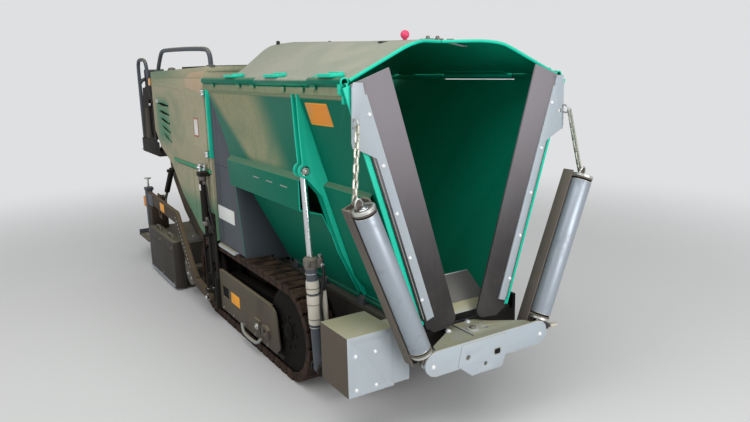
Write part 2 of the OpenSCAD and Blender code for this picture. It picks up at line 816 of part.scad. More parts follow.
module link_ring() {
  rotate([90, 0, 0]) difference() {
    union() {
      translate([0, 12, -4]) cylinder(h = 8, r = 13);
      translate([0, -12, -4]) cylinder(h = 8, r = 13);
      translate([-13, -12, -4]) cube([26, 24, 8]);
    }
    translate([-5, -12, -5]) cube([10, 24, 10]);
    translate([0, 12, -5]) cylinder(h = 10, r = 5);
    translate([0, -12, -5]) cylinder(h = 10, r = 5);
  }
}

module chain_left() {
  color("#b8b8a4") translate(chain_at)
    rotate([-asin(chain_v[1] / norm(chain_v)), atan2(chain_v[0], chain_v[2]), 0])
      for (i = [0 : floor((norm(chain_v) - 8) / link_pitch)]) {
        translate([0, 0, 12.2 + i * link_pitch]) rotate([0, 0, i % 2 == 0 ? 0 : 90]) link_ring();
      }
}

module chain_right() {
  mirror([1, 0, 0]) chain_left();
}

// screed

module tow_blocks() {
  color("#5a554f") pair() {
    difference() {
      union() {
        box(body_x + 12.3, 655, tow_d - 69, tow_d + 69, tow_z - 50, tow_z + 66);
        box(650, 705, tow_d - 30, tow_d + 17, tow_z + 50, tow_z + 66);
      }
    }
    along_x(640, 705, tow_d, tow_z, 16);
    // crosshead, its twin rods and the piston rod above
    for (x = [643, 687]) along_z(x, tow_d, tow_z + 60, 645, 8);
    box(634, 696, tow_d - 14, tow_d + 14, 640, 662);
    along_z(665, tow_d, 655, 870, 12);
  }
}

arm_line = [[tow_d, tow_z], [2520, 210], [2640, 300], [2960, 650], [3900, 690]];

module tow_arms() {
  color("#6b5a45") pair() {
    difference() {
      union() {
        for (i = [0 : len(arm_line) - 2]) {
          side(strip(arm_line[i], arm_line[i + 1], i == 0 ? 70 : 100), arm_x - arm_t, arm_x);
        }
        for (i = [0 : len(arm_line) - 2]) {
          along_x(arm_x - arm_t, arm_x, arm_line[i][0], arm_line[i][1], i < 2 ? 35 : 50);
        }
      }
      along_x(arm_x - arm_t - 1, arm_x + 1, tow_d, tow_z, 16 + fit);
    }
    box(arm_x - arm_t - 120, arm_x, 3800, 3900, 380, 690);
    // slotted lugs of the lift cylinders
    difference() {
      box(645, 653, lift_eye[0] - 50, lift_eye[0] + 50, 520, 750);
      box(640, 655, lift_eye[0] - 22, lift_eye[0] + 22, 550, 722);
    }
    box(652, 660, lift_eye[0] - 50, lift_eye[0] - 26, 620, 730);
    box(652, 660, lift_eye[0] + 26, lift_eye[0] + 50, 620, 730);
  }
}

module screed_body() {
  d2 = screed_d0 + 330;
  color("#55565a") {
    difference() {
      box(-screed_x + 90, screed_x - 90, screed_d0 + 20, d2, 25, 400);
      box(-screed_x + 98, screed_x - 98, screed_d0 + 28, d2 - 8, 40, 410);
    }
    box(-screed_x + 90, screed_x - 90, screed_d0 + 20, d2 + 10, 396, 404);
    // carrier beam and guide tubes of the extensions
    box(-screed_x + 40, screed_x - 40, d2 - 1, 3950, 330, 380);
    box(-12, 12, d2 - 1, 3720, 150, 331);
    for (d = guide_d) along_x(-655, 655, d, guide_z, 30);
    // walkway
    box(-screed_x + 30, screed_x - 30, 4150, screed_d1, 180, 192);
    pair() side([[3900, 331], [3950, 331], [4250, 192], [4350, 192], [4350, 191], [4150, 191]], 400, 440);
  }
}

module screed_ext_left() {
  d0 = screed_d0 + 350;
  d1 = screed_d0 + 700;
  color("#5d5f63") difference() {
    union() {
      difference() {
        box(20, screed_x, d0, d1, 25, 190);
        box(28, screed_x - 8, d0 + 8, d1 - 8, 40, 200);
      }
      box(20, 28, d0, d1, 25, 230);
      for (d = guide_d) along_x(20, 110, d, guide_z, 45);
      box(screed_x + 17, screed_x + 25, screed_d0, 3830, 20, 430);
      box(screed_x - 70, screed_x + 18, screed_d0, 3780, 422, 430);
      box(screed_x - 70, screed_x + 18, screed_d0, screed_d0 + 8, 20, 430);
      box(screed_x + 5, screed_x + 18, 3822, 3830, 20, 430);
      box(screed_x - 1, screed_x + 18, d0 + 10, d1 - 10, 30, 180);
    }
    for (d = guide_d) along_x(0, 120, d, guide_z, 30 + fit);
  }
}

module screed_ext_right() {
  mirror([1, 0, 0]) screed_ext_left();
}

lift_foot = [3250, 1010];
lift_eye = [3620, 640];
lift_x = 612;
lift_v = lift_eye - lift_foot;
lift_dir = lift_v / norm(lift_v);

module lift_barrels() {
  a = lift_foot + lift_dir * 10;
  b = lift_foot + lift_dir * 300;
  color("#33383a") pair() difference() {
    union() {
      rod([lift_x, a[0], a[1]], [lift_x, b[0], b[1]], 24);
      along_x(lift_x - 14, lift_x + 14, lift_foot[0], lift_foot[1], 26);
    }
    along_x(lift_x - 40, lift_x + 40, lift_foot[0], lift_foot[1], 14 + fit);
    rod([lift_x, a[0] + 40 * lift_dir[0], a[1] + 40 * lift_dir[1]],
      [lift_x, b[0] + 10 * lift_dir[0], b[1] + 10 * lift_dir[1]], 14 + fit);
  }
}

module lift_rods() {
  a = lift_foot + lift_dir * 270;
  b = lift_eye - lift_dir * 8;
  color("#c8ccd0") pair() {
    rod([lift_x, a[0], a[1]], [lift_x, b[0], b[1]], 14);
    along_x(lift_x - 17, lift_x + 17, lift_eye[0], lift_eye[1], 22);
    along_x(lift_x - 20, 655, lift_eye[0], lift_eye[1], 12);
  }
}

module auger_left() {
  color("#6a6560") {
    along_x(50.3, 650, auger_d, auger_z, 30);
    for (i = [0 : 5]) {
      along_x(90 + i * 95, 98 + i * 95, auger_d, auger_z, auger_r);
    }
    along_x(636, 650, auger_d, auger_z, auger_r - 10);
  }
}

module auger_right() {
  mirror([1, 0, 0]) auger_left();
}

module seat_left() {
  color("#23272a") {
    box(330, 560, deck_d1 - 320, deck_d1 - 80, 1500, 1560);
    box(330, 560, deck_d1 - 110, deck_d1 - 70, 1560, 1900);
    along_z(445, deck_d1 - 200, floor_z + 0.3, 1505, 25);
    along_z(445, deck_d1 - 200, floor_z + 0.3, floor_z + 12, 70);
  }
}

module seat_right() {
  mirror([1, 0, 0]) seat_left();
}

chassis_frame();
hopper_deck();
conveyor();
hopper_rear_wall();
hopper_apron();
side_posts();
front_weight();
tracks();
track_gear();
track_guards();
engine_block();
engine_housing();
bonnet_grille();
tow_guides();
operator_deck();
console();
hand_rails();
auger_hanger();
wing_right();
wing_left();
seal_right();
seal_left();
strip_right();
strip_left();
cover_right();
cover_left();
wing_barrel_right();
wing_barrel_left();
wing_rod_right();
wing_rod_left();
push_bar();
carrier_right();
carrier_left();
push_roller_right();
push_roller_left();
chain_right();
chain_left();
tow_blocks();
tow_arms();
screed_body();
screed_ext_right();
screed_ext_left();
lift_barrels();
lift_rods();
auger_right();
auger_left();
door_right();
door_left();
seat_right();
seat_left();
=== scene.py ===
"""Looks of a tracked asphalt paver in its transport state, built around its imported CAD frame.

Lengths are metres in the frame of the CAD model. Distances "d" run back from the hopper's
front edge, x is the machine's left side, z is height over the ground.
"""

import json
import math

import bmesh
import bpy
from mathutils import Matrix, Vector

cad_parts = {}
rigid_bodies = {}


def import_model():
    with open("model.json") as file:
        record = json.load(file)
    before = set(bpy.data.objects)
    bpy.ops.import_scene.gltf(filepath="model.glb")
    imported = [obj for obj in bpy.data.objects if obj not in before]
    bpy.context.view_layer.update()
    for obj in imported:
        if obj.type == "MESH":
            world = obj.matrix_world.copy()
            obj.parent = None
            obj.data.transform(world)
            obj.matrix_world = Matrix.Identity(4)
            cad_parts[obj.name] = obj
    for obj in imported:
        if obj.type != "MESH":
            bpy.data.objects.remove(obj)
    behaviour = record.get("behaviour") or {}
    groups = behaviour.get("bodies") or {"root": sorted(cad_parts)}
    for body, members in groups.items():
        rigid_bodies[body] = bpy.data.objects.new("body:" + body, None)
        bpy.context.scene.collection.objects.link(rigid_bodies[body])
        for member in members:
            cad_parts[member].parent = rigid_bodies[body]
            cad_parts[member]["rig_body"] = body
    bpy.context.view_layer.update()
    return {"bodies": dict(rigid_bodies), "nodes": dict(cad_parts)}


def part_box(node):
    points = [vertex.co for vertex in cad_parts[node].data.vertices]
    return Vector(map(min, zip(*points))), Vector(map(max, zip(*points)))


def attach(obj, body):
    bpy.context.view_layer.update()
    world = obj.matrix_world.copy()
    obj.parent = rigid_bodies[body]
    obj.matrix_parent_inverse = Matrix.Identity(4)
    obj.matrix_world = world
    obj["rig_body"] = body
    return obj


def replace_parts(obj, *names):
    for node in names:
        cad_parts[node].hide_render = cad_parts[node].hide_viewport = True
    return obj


bl_info = {
    "name": "Asphalt paver looks",
    "version": (1, 0, 0),
    "blender": (4, 5, 0),
    "location": "View3D > Sidebar > Paver",
    "description": "Dresses the packed CAD frame of a tracked asphalt paver",
    "category": "Object",
}

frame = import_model()
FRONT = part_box("seal_left")[1].y
UP, FORWARD, BACK = Vector((0, 0, 1)), Vector((0, -1, 0)), Vector((0, 1, 0))
LEFT = Vector((1, 0, 0))
MIRROR = Matrix.Scale(-1, 4, LEFT)


def at(x, d, z):
    """A place on the machine from its x, its distance behind the hopper's edge and its height."""
    return Vector((x, FRONT + d, z))


def rgb(code):
    """Linear colour of a hexadecimal paint code."""
    parts = [int(code[i:i + 2], 16) / 255 for i in (0, 2, 4)]
    return tuple(c / 12.92 if c < 0.04045 else ((c + 0.055) / 1.055) ** 2.4 for c in parts)


# shader arithmetic


class Wire:
    """A shader value that takes part in plain arithmetic."""

    def __init__(self, finish, socket):
        self.finish, self.socket = finish, socket

    def calc(self, operation, *values, clamp=False):
        settings = {"operation": operation, "use_clamp": clamp}
        return self.finish.node("ShaderNodeMath", settings, values)

    def __add__(self, other):
        return self.calc("ADD", self, other)

    def __sub__(self, other):
        return self.calc("SUBTRACT", self, other)

    def __rsub__(self, other):
        return self.calc("SUBTRACT", other, self)

    def __mul__(self, other):
        return self.calc("MULTIPLY", self, other)

    def __truediv__(self, other):
        return self.calc("DIVIDE", self, other)

    def __pow__(self, other):
        return self.calc("POWER", self, other)

    def __abs__(self):
        return self.calc("ABSOLUTE", self)

    __radd__ = __add__
    __rmul__ = __mul__

    def held(self):
        return self.calc("ADD", self, 0.0, clamp=True)

    def most(self, other):
        return self.calc("MAXIMUM", self, other)

    def wave(self):
        return self.calc("SINE", self)

    def rise(self, low, high):
        """0 below low, 1 above high, and a smooth step between."""
        settings = {"interpolation_type": "SMOOTHSTEP"}
        return self.finish.node("ShaderNodeMapRange", settings, {0: self, 1: low, 2: high})


class Finish:
    """One node material, with the few places where its values go in."""

    def __init__(self, name):
        self.material = bpy.data.materials.new(name)
        self.material.use_nodes = True
        self.tree = self.material.node_tree
        self.tree.nodes.clear()
        self.output = self.tree.nodes.new("ShaderNodeOutputMaterial")
        self.shader = self.tree.nodes.new("ShaderNodeBsdfPrincipled")
        self.tree.links.new(self.shader.outputs[0], self.output.inputs[0])
        place = self.tree.nodes.new("ShaderNodeTexCoord")
        self.place = Wire(self, place.outputs["Object"])
        self.x, self.y, self.z = self.split(self.place)
        self.nx, self.ny, self.nz = self.split(Wire(self, place.outputs["Normal"]))

    def node(self, kind, settings=None, values=(), out=0):
        made = self.tree.nodes.new(kind)
        for key, value in (settings or {}).items():
            setattr(made, key, value)
        for key, value in values.items() if isinstance(values, dict) else enumerate(values):
            if isinstance(value, Wire):
                self.tree.links.new(value.socket, made.inputs[key])
            else:
                made.inputs[key].default_value = value
        return Wire(self, made.outputs[out])

    def split(self, vector):
        made = self.node("ShaderNodeSeparateXYZ", None, (vector,)).socket.node
        return [Wire(self, made.outputs[i]) for i in range(3)]

    def moved(self, stretch=(1, 1, 1), shift=(0, 0, 0)):
        return self.node("ShaderNodeMapping", None, {0: self.place, 1: shift, 3: stretch})

    def noise(self, scale, detail=3.0, roughness=0.55, stretch=(1, 1, 1), shift=(0, 0, 0),
              warp=0.0):
        values = {"Vector": self.moved(stretch, shift), "Scale": scale, "Detail": detail,
                  "Roughness": roughness, "Distortion": warp}
        return self.node("ShaderNodeTexNoise", None, values)

    def cells(self, scale, stretch=(1, 1, 1)):
        values = {"Vector": self.moved(stretch), "Scale": scale}
        return self.node("ShaderNodeTexVoronoi", None, values)

    def mix(self, factor, a, b):
        """Colour b over colour a."""
        values = {0: factor, 6: self.solid(a), 7: self.solid(b)}
        return self.node("ShaderNodeMix", {"data_type": "RGBA"}, values, 2)

    @staticmethod
    def solid(colour):
        return colour if isinstance(colour, Wire) or len(colour) == 4 else (*colour, 1.0)

    def edges(self, radius, low=0.01, high=0.2):
        """1 along the outside and inside corners, where paint wears, dust gathers and highlight is
        painted.
        """
        round_normal = self.node("ShaderNodeBevel", {"samples": 4}, {0: radius})
        flat = self.node("ShaderNodeNewGeometry", None, (), 1)
        along = self.node("ShaderNodeVectorMath", {"operation": "DOT_PRODUCT"},
                          {0: round_normal, 1: flat}, 1)
        return (1.0 - along).rise(low, high)

    def set(self, **values):
        """Plain numbers and colours go on their own socket, wires are linked."""
        for name, value in values.items():
            socket = self.shader.inputs[name.replace("_", " ").title().replace("Ior", "IOR")]
            if isinstance(value, Wire):
                self.tree.links.new(value.socket, socket)
            else:
                socket.default_value = self.solid(value) if isinstance(value, tuple) else value
        return self

    def relief(self, height, strength=0.3, distance=0.001):
        values = {"Strength": strength, "Distance": distance, "Height": height}
        bump = self.node("ShaderNodeBump", None, values)
        self.tree.links.new(bump.socket, self.shader.inputs["Normal"])
        return self


# finishes

DUST, ROOF_DUST, GRIME = rgb("a09c7c"), rgb("a09e8f"), rgb("1d1916")
finishes = {}


def painted(name, colour, wear_and_highlight, dust=0.6, film=0.25, dust_colour=DUST, roughness=0.42, metal=0.0,
            coat=0.0, where=None, grime=0.0, edge=0.003, edge_show=0.8, gloss=0.3):
    """Paint with pale corners of wear and painted highlight, settled dust on top and a thin film on
    the sides.
    """
    f = Finish(name)
    patch = f.noise(2.3, 5, 0.6, warp=0.6)
    fine = f.noise(38, 4, 0.7)
    speck = f.noise(240, 2, 0.6)
    tone = f.mix(patch.rise(0.3, 0.7) * 0.22, colour, tuple(c * 0.72 for c in colour))
    # Corners take the pale colour: partly paint wear, partly a painted edge highlight.
    corner = f.edges(edge)
    tone = f.mix(corner * edge_show, tone, wear_and_highlight)
    scuffs = f.noise(9, 6, 0.75, stretch=(1, 1, 5)).rise(0.66, 0.74) * fine.rise(0.45, 0.6)
    tone = f.mix(scuffs * 0.35, tone, wear_and_highlight)
    top = f.nz.rise(0.25, 0.85)
    settled = top * (0.62 + 0.38 * patch.rise(0.25, 0.6)) * dust
    veil = f.noise(1.1, 3, 0.5, warp=1.4, shift=(3, 1, 7)).rise(0.38, 0.66) * film
    veil = veil * (0.75 + 0.25 * fine.rise(0.3, 0.7))
    if where is not None:
        veil = veil.most(where(f) * (0.8 + 0.2 * fine.rise(0.3, 0.6)))
    layer = settled.most(veil) * (1.0 - corner * 0.55)
    layer = (layer * (0.9 + 0.2 * speck)).held()
    tone = f.mix(layer, tone, dust_colour)
    if grime:
        low = (1.0 - f.z.rise(0.05, 0.75)) * f.noise(5, 5, 0.65).rise(0.3, 0.6) * grime
        tone = f.mix(low, tone, GRIME)
    f.set(base_color=tone, metallic=metal, roughness=(roughness + layer * 0.38 + fine * 0.1).held(),
          coat_weight=coat, coat_roughness=0.15, specular_ior_level=gloss)
    return f.relief(fine * 0.5 + speck * 0.25, 0.12, 0.0008)


def outside(f):
    """1 on faces that look away from the machine's middle line."""
    return (f.x * f.nx).rise(0.0, 0.05)


def wing_dust(f):
    """Dust on the sloping outer sheets of the wings, wiped in broad strokes."""
    d = f.y - FRONT
    slant = (f.z - 1.307 - (d - 1.348) * 0.66).rise(-0.04, 0.07)
    front = (d - 0.88 - (f.z - 1.442) * 0.6).rise(-0.14, 0.24)
    swirl = f.noise(1.6, 3, 0.5, shift=(0, 2.3, 0), warp=1.6).rise(0.30, 0.62)
    height = f.z.rise(1.27, 1.34) * (1.0 - f.z.rise(1.700, 1.712))
    upper = height * slant * front * (0.62 + 0.30 * swirl)
    band = f.z.rise(1.700, 1.712) * (1.0 - f.z.rise(1.757, 1.766)) * 0.72
    return outside(f) * upper.most(f.nz.rise(0.5, 0.8) * 0.2).most(band)


def roof_dust(f):
    """Thick even dust on the covers' upper faces."""
    return f.nz.rise(0.15, 0.5) * (0.86 + 0.12 * f.noise(1.3, 4, 0.5).rise(0.3, 0.7))


def body_dust(f):
    """The engine body is buried in dust, but for the louvres, the foot and the rear top."""
    bare = f.noise(1.5, 3, 0.5, warp=1.0, shift=(1, 0, 2)).rise(0.55, 0.75) * 0.4
    along = 1.0 - abs(f.y - (FRONT + 3.33)).rise(0.10, 0.30)
    leaves = along * (1.0 - abs(f.z - 1.44).rise(0.12, 0.26))
    foot = 1.0 - f.z.rise(0.80, 0.98)
    crown = f.z.rise(1.70, 1.86) * f.y.rise(FRONT + 2.5, FRONT + 3.3) * 0.5
    return (0.93 - bare.most(leaves * 0.75).most(foot * 0.7).most(crown)).held()


def metal(name, colour, roughness=0.3, stain=None, stains=0.3, grain=0.0, metallic=1.0):
    """Bare or plated metal with stains and a fine brushed grain."""
    f = Finish(name)
    patch = f.noise(6, 5, 0.65, warp=0.5)
    fine = f.noise(160, 3, 0.6)
    spots = patch.rise(0.5, 0.72) * stains
    tone = f.mix(spots, colour, stain or tuple(c * 0.5 for c in colour))
    dusty = f.nz.rise(0.4, 0.9) * 0.35 * stains
    tone = f.mix(dusty, tone, DUST)
    f.set(base_color=tone, metallic=(metallic * (1.0 - spots * 0.6) - dusty).held(),
          roughness=(roughness + spots * 0.35 + fine * 0.1).held())
    return f.relief(fine + patch * grain * 4, 0.1 + grain, 0.0006)


def rubbered(name, colour, dusting=0.35, roughness=0.62, groove=0.0, high=None):
    """Matt rubber with rubbed-in dust, paler towards its upper end as painted light where high is
    given.
    """
    f = Finish(name)
    cloud = f.noise(2.2, 4, 0.5, warp=0.8)
    fine = f.noise(90, 4, 0.7)
    streak = f.noise(9, 3, 0.6, stretch=(5, 5, 0.5), warp=0.3).rise(0.45, 0.8)
    veil = (cloud.rise(0.3, 0.75) * 0.55 + streak * 0.15) * dusting
    veil = veil.most(f.nz.rise(0.3, 0.8) * 0.6) + f.edges(0.004) * 0.12
    # Where high is given: painted light and shade, paler higher up and darker lower down.
    tone = colour if high is None else f.mix(f.z.rise(0.75, 1.75), colour, high)
    f.set(base_color=f.mix(veil.held(), tone, rgb("8b8885")), specular_ior_level=0.2,
          roughness=(roughness + veil * 0.25).held())
    return f.relief(fine + cloud * groove, 0.18, 0.001)


def shoe_steel(name):
    """Track shoes: brown rust film, polished a little on the edges, dried mud in the corners."""
    f = Finish(name)
    rust = f.noise(14, 6, 0.7, warp=0.6)
    fine = f.noise(120, 4, 0.7)
    tone = f.mix(rust.rise(0.35, 0.7), rgb("241b16"), rgb("432f25"))
    tone = f.mix(fine.rise(0.5, 0.75) * 0.35, tone, rgb("5d4534"))
    tone = f.mix(f.edges(0.004) * 0.25, tone, rgb("6f6154"))
    tone = f.mix(f.nz.rise(0.6, 0.95) * rust.rise(0.4, 0.6) * 0.16, tone, rgb("8a7a62"))
    f.set(base_color=tone, metallic=0.2, roughness=(0.58 + fine * 0.3).held(),
          specular_ior_level=0.2)
    return f.relief(fine + rust, 0.35, 0.0015)


def label(name, colour, rim=None):
    """A plain film label with a scuffed surface and nothing printed on it."""
    f = Finish(name)
    fine = f.noise(60, 5, 0.7)
    tone = f.mix(fine.rise(0.6, 0.75) * 0.5, colour, tuple(c * 0.6 for c in colour))
    tone = f.mix(f.edges(0.003) * 0.6, tone, rim or tuple(c * 0.35 for c in colour))
    tone = f.mix(f.noise(4, 4, 0.6).rise(0.45, 0.7) * 0.3, tone, DUST)
    f.set(base_color=tone, roughness=(0.35 + fine * 0.3).held())
    return f.relief(fine, 0.05, 0.0004)


def glassy(name, colour):
    """Lamp lens: ribbed clear plastic."""
    f = Finish(name)
    ribs = (f.z * 900).wave() * 0.5 + 0.5
    f.set(base_color=f.mix(ribs * 0.3, colour, tuple(min(1, c * 1.4) for c in colour)),
          roughness=(0.12 + ribs * 0.08).held(), coat_weight=0.6)
    return f.relief(ribs, 0.3, 0.001)


def vinyl(name, colour):
    """Seat vinyl with a pebbled grain."""
    f = Finish(name)
    grain = f.cells(320)
    cloud = f.noise(7, 4, 0.6)
    veil = f.nz.rise(0.4, 0.9) * 0.4 + cloud.rise(0.5, 0.7) * 0.2
    f.set(base_color=f.mix(veil.held(), colour, rgb("77736a")),
          roughness=(0.5 + grain * 0.3).held())
    return f.relief(grain + cloud * 0.5, 0.25, 0.0008)


def mix_finishes(context):
    """Every finish of the machine, by its name."""
    tint = context.scene.paver_colours
    green, bright = tuple(tint.green), tuple(tint.green_edge_highlight)
    pale, dark = tuple(tint.light_grey), tuple(tint.dark_grey)
    made = {
        "hopper_green": painted("hopper_green", green, bright, 0.3, 0.0, where=wing_dust,
                                edge=0.005, edge_show=0.8, gloss=0.1),
        "inner_green": painted("inner_green", green, bright, 0.3, 0.02, gloss=0.2),
        "roof_green": painted("roof_green", green, bright, 0.95, 0.1, ROOF_DUST, where=roof_dust,
                              edge=0.004, gloss=0.2),
        # Brighter green: paint of lugs and rims, and a painted highlight on front faces and edges
        # that meet the light.
        "bright_green": painted("bright_green", bright, bright, 0.15, 0.0, gloss=0.3),
        "body_green": painted("body_green", rgb("2f7b5c"), rgb("58a68a"), 0.9, 0.3, rgb("aba188"),
                              where=body_dust, gloss=0.2),
        # Shaded green: a copy of the hopper paint with little dust, set for faces in the hopper's
        # shade (wing inner faces, cover undersides, rear wall, curtain); painted shade.
        "shaded_green": painted("shaded_green", rgb("069070"), bright, 0.15, 0.0, edge_show=0.3,
                              gloss=0.15),
        "leaf_green": painted("leaf_green", rgb("1f8a64"), rgb("5fc09c"), 0.45, 0.15, gloss=0.2),
        "pale_grey": painted("pale_grey", pale, rgb("d3d8dc"), 0.95, 0.1, roughness=0.4, coat=0.1),
        "weight_side": painted("weight_side", rgb("544c43"), rgb("8f877c"), 0.9, 0.25,
                               rgb("6f675b"), 0.6, gloss=0.15),
        "guard_grey": painted("guard_grey", rgb("48423a"), rgb("77705f"), 0.85, 0.2, rgb("837a63"),
                              0.55, gloss=0.2),
        "taupe_grey": painted("taupe_grey", rgb("5c544f"), rgb("8d867e"), 0.8, 0.3, rgb("7f7a68"),
                              0.5, gloss=0.2),
        "scuff_grey": painted("scuff_grey", rgb("8d9290"), rgb("b9bdba"), 0.5, 0.3),
        "beige_patch": painted("beige_patch", rgb("b8a184"), rgb("d0bda0"), 0.6, 0.5),
        "maroon_lining": painted("maroon_lining", rgb("2a1517"), rgb("55383a"), 0.5, 0.2,
                                 roughness=0.7),
        "slate_grey": painted("slate_grey", dark, rgb("6b7178"), 0.7, 0.04, rgb("807b6d"), 0.45,
                              grime=0.3, gloss=0.2),
        "screed_grey": painted("screed_grey", rgb("3c3833"), rgb("6c665e"), 0.85, 0.12,
                               rgb("7c7764"), 0.55, gloss=0.2),
        # Near-black of the track gear and wheel hubs: painted shade, for parts that lie in deep
        # shade.
        "shade_black": painted("shade_black", rgb("0f0e0d"), rgb("2a2724"), 0.12, 0.03, rgb("4b463c"),
                              0.7, grime=0.3, gloss=0.1),
        "frame_black": painted("frame_black", rgb("191715"), rgb("3b3732"), 0.35, 0.08,
                               rgb("5f594c"), 0.6, grime=0.5, gloss=0.15),
        "arm_brown": painted("arm_brown", rgb("3f362d"), rgb("6f604e"), 0.75, 0.35, rgb("7a6a52"),
                             0.6, grime=0.35, gloss=0.2),
        "chrome": metal("chrome", rgb("d6d9dc"), 0.12, rgb("8d8a84"), 0.25),
        "zinc": metal("zinc", rgb("c9cac6"), 0.34, rgb("8e8b80"), 0.4, 0.1),
        "chain_zinc": metal("chain_zinc", rgb("c2c3b6"), 0.4, rgb("7b7767"), 0.6, 0.2),
        "dull_steel": metal("dull_steel", rgb("7c7872"), 0.5, rgb("4a3b30"), 0.8, 0.3, 0.8),
        "roller_steel": metal("roller_steel", rgb("9aa2ab"), 0.38, rgb("6f747b"), 0.5, 0.1, 0.55),
        "shoe_steel": shoe_steel("shoe_steel"),
        "white_zinc": metal("white_zinc", rgb("dfe2e4"), 0.42, rgb("a9aaa6"), 0.3, 0.05, 0.5),
        # Seal rubber: pale at the top and dark low down, a painted light-to-shade gradient.
        "seal_rubber": rubbered("seal_rubber", rgb("2b2929"), 0.22, high=rgb("7c777c")),
        "apron_rubber": rubbered("apron_rubber", rgb("171614"), 0.04),
        "hose_rubber": rubbered("hose_rubber", rgb("1b1b1c"), 0.3, 0.5),
        "wrap_white": rubbered("wrap_white", rgb("c4beb0"), 0.6, 0.6, 1.0),
        "orange_label": label("orange_label", rgb("e58a12")),
        "yellow_label": label("yellow_label", rgb("f0a010")),
        "white_label": label("white_label", rgb("dcdedb"), rgb("a0a29f")),
        "red_rim": label("red_rim", rgb("a8433c")),
        "pink_cap": label("pink_cap", rgb("e0406a"), rgb("b52c55")),
        "amber_lens": glassy("amber_lens", rgb("e79a18")),
        "seat_vinyl": vinyl("seat_vinyl", rgb("1f2123")),
        # Matt black: dark joints and dial rims, and painted shade in pockets, slots, the roller
        # gaps and behind the louvres.
        "black_and_recess_shade": rubbered("black_and_recess_shade", rgb("0c0c0d"), 0.1, 0.9),
    }
    finishes.update({name: finish.material for name, finish in made.items()})


# workshop tools


def only(piece):
    """Select one piece alone and make it the active one."""
    bpy.ops.object.select_all(action="DESELECT")
    piece.select_set(True)
    bpy.context.view_layer.objects.active = piece
    return piece


def open_edit(piece, kind="VERT"):
    """Edit mode with the whole mesh selected."""
    only(piece)
    bpy.ops.object.mode_set(mode="EDIT")
    bpy.ops.mesh.select_mode(type=kind)
    bpy.ops.mesh.select_all(action="SELECT")


def close_edit():
    bpy.ops.object.mode_set(mode="OBJECT")


def settle(piece):
    """Move the piece's place, turn and scale into its mesh."""
    only(piece)
    bpy.ops.object.transform_apply(location=True, rotation=True, scale=True)
    return piece


def modify(piece, kind, **settings):
    """Add one modifier with its settings and apply it."""
    only(piece)
    modifier = piece.modifiers.new(kind.lower(), kind)
    for key, value in settings.items():
        setattr(modifier, key, value)
    bpy.ops.object.modifier_apply(modifier=modifier.name)
    return piece


def cut(piece, cutter):
    """Take one piece out of another; the cutter is spent."""
    modify(piece, "BOOLEAN", object=cutter, operation="DIFFERENCE", solver="EXACT")
    bpy.data.objects.remove(cutter)


def soften(piece, width=0.002, steps=2, angle=30):
    """Round the sharp edges, as paint and pressing do."""
    return modify(piece, "BEVEL", width=width, segments=steps, limit_method="ANGLE",
                  angle_limit=math.radians(angle), use_clamp_overlap=True, harden_normals=False)


def aim(direction):
    """The turn that stands the z axis along a direction."""
    return UP.rotation_difference(Vector(direction).normalized()).to_matrix().to_4x4()


def moved(piece, place=(0, 0, 0), direction=UP):
    """Stand a piece that was made on the origin at its place."""
    piece.matrix_world = Matrix.Translation(place) @ aim(direction)
    return settle(piece)


def block(centre, size, width=0.002, steps=2):
    """A box with rounded edges."""
    bpy.ops.mesh.primitive_cube_add(size=1, location=centre)
    piece = bpy.context.active_object
    piece.scale = size
    return soften(settle(piece), width, steps) if width else settle(piece)


def traced(points):
    """Draw a chain of edges point by point with the extrude tool."""
    points = [Vector(p) for p in points]
    bpy.ops.mesh.primitive_plane_add(size=0.1)
    piece = bpy.context.active_object
    open_edit(piece)
    bpy.ops.mesh.merge(type="CENTER")
    bpy.ops.transform.translate(value=points[0])
    for a, b in zip(points, points[1:]):
        bpy.ops.mesh.extrude_region_move(TRANSFORM_OT_translate={"value": b - a})
    return piece


def plate(points, depth, width=0.0015, steps=2, holes=()):
    """A flat plate: an outline of 3-D points, filled and pulled out by the vector depth."""
    piece = traced(points)
    bpy.ops.mesh.select_all(action="SELECT")
    bpy.ops.mesh.edge_face_add()
    bpy.ops.mesh.select_all(action="SELECT")
    bpy.ops.mesh.extrude_region_move(TRANSFORM_OT_translate={"value": Vector(depth)})
    bpy.ops.mesh.select_all(action="SELECT")
    bpy.ops.mesh.normals_make_consistent(inside=False)
    close_edit()
    for hole in holes:
        cut(piece, hole)
    return soften(piece, width, steps) if width else piece


def turned(profile, steps=24, place=(0, 0, 0), direction=UP):
    """Spin a profile of (radius, height) points round its axis and stand it at its place."""
    piece = traced([(r, 0, h) for r, h in profile])
    bpy.ops.mesh.select_all(action="SELECT")
    bpy.ops.mesh.spin(steps=steps, angle=math.tau, center=(0, 0, 0), axis=(0, 0, 1))
    bpy.ops.mesh.select_all(action="SELECT")
    bpy.ops.mesh.remove_doubles(threshold=0.00002)
    bpy.ops.mesh.normals_make_consistent(inside=False)
    close_edit()
    return moved(piece, place, direction)


def bar(a, b, radius, sides=20, width=0.0015):
    """A round bar from a to b."""
    a, b = Vector(a), Vector(b)
    bpy.ops.mesh.primitive_cylinder_add(vertices=sides, radius=radius, depth=(b - a).length)
    piece = moved(bpy.context.active_object, (a + b) / 2, b - a)
    return soften(piece, width, 2, 50) if width else piece


def hose(points, radius, sides=3):
    """A smooth round line through its points, as a closed mesh."""
    bpy.ops.curve.primitive_nurbs_path_add()
    line = bpy.context.active_object
    line.data.splines.clear()
    spline = line.data.splines.new("NURBS")
    spline.points.add(len(points) - 1)
    for spot, place in zip(spline.points, points):
        spot.co = (*place, 1.0)
    spline.use_endpoint_u = True
    spline.order_u = min(4, len(points))
    spline.resolution_u = 5
    line.data.dimensions = "3D"
    line.data.bevel_depth = radius
    line.data.bevel_resolution = sides
    line.data.use_fill_caps = True
    only(line)
    bpy.ops.object.convert(target="MESH")
    return settle(bpy.context.active_object)


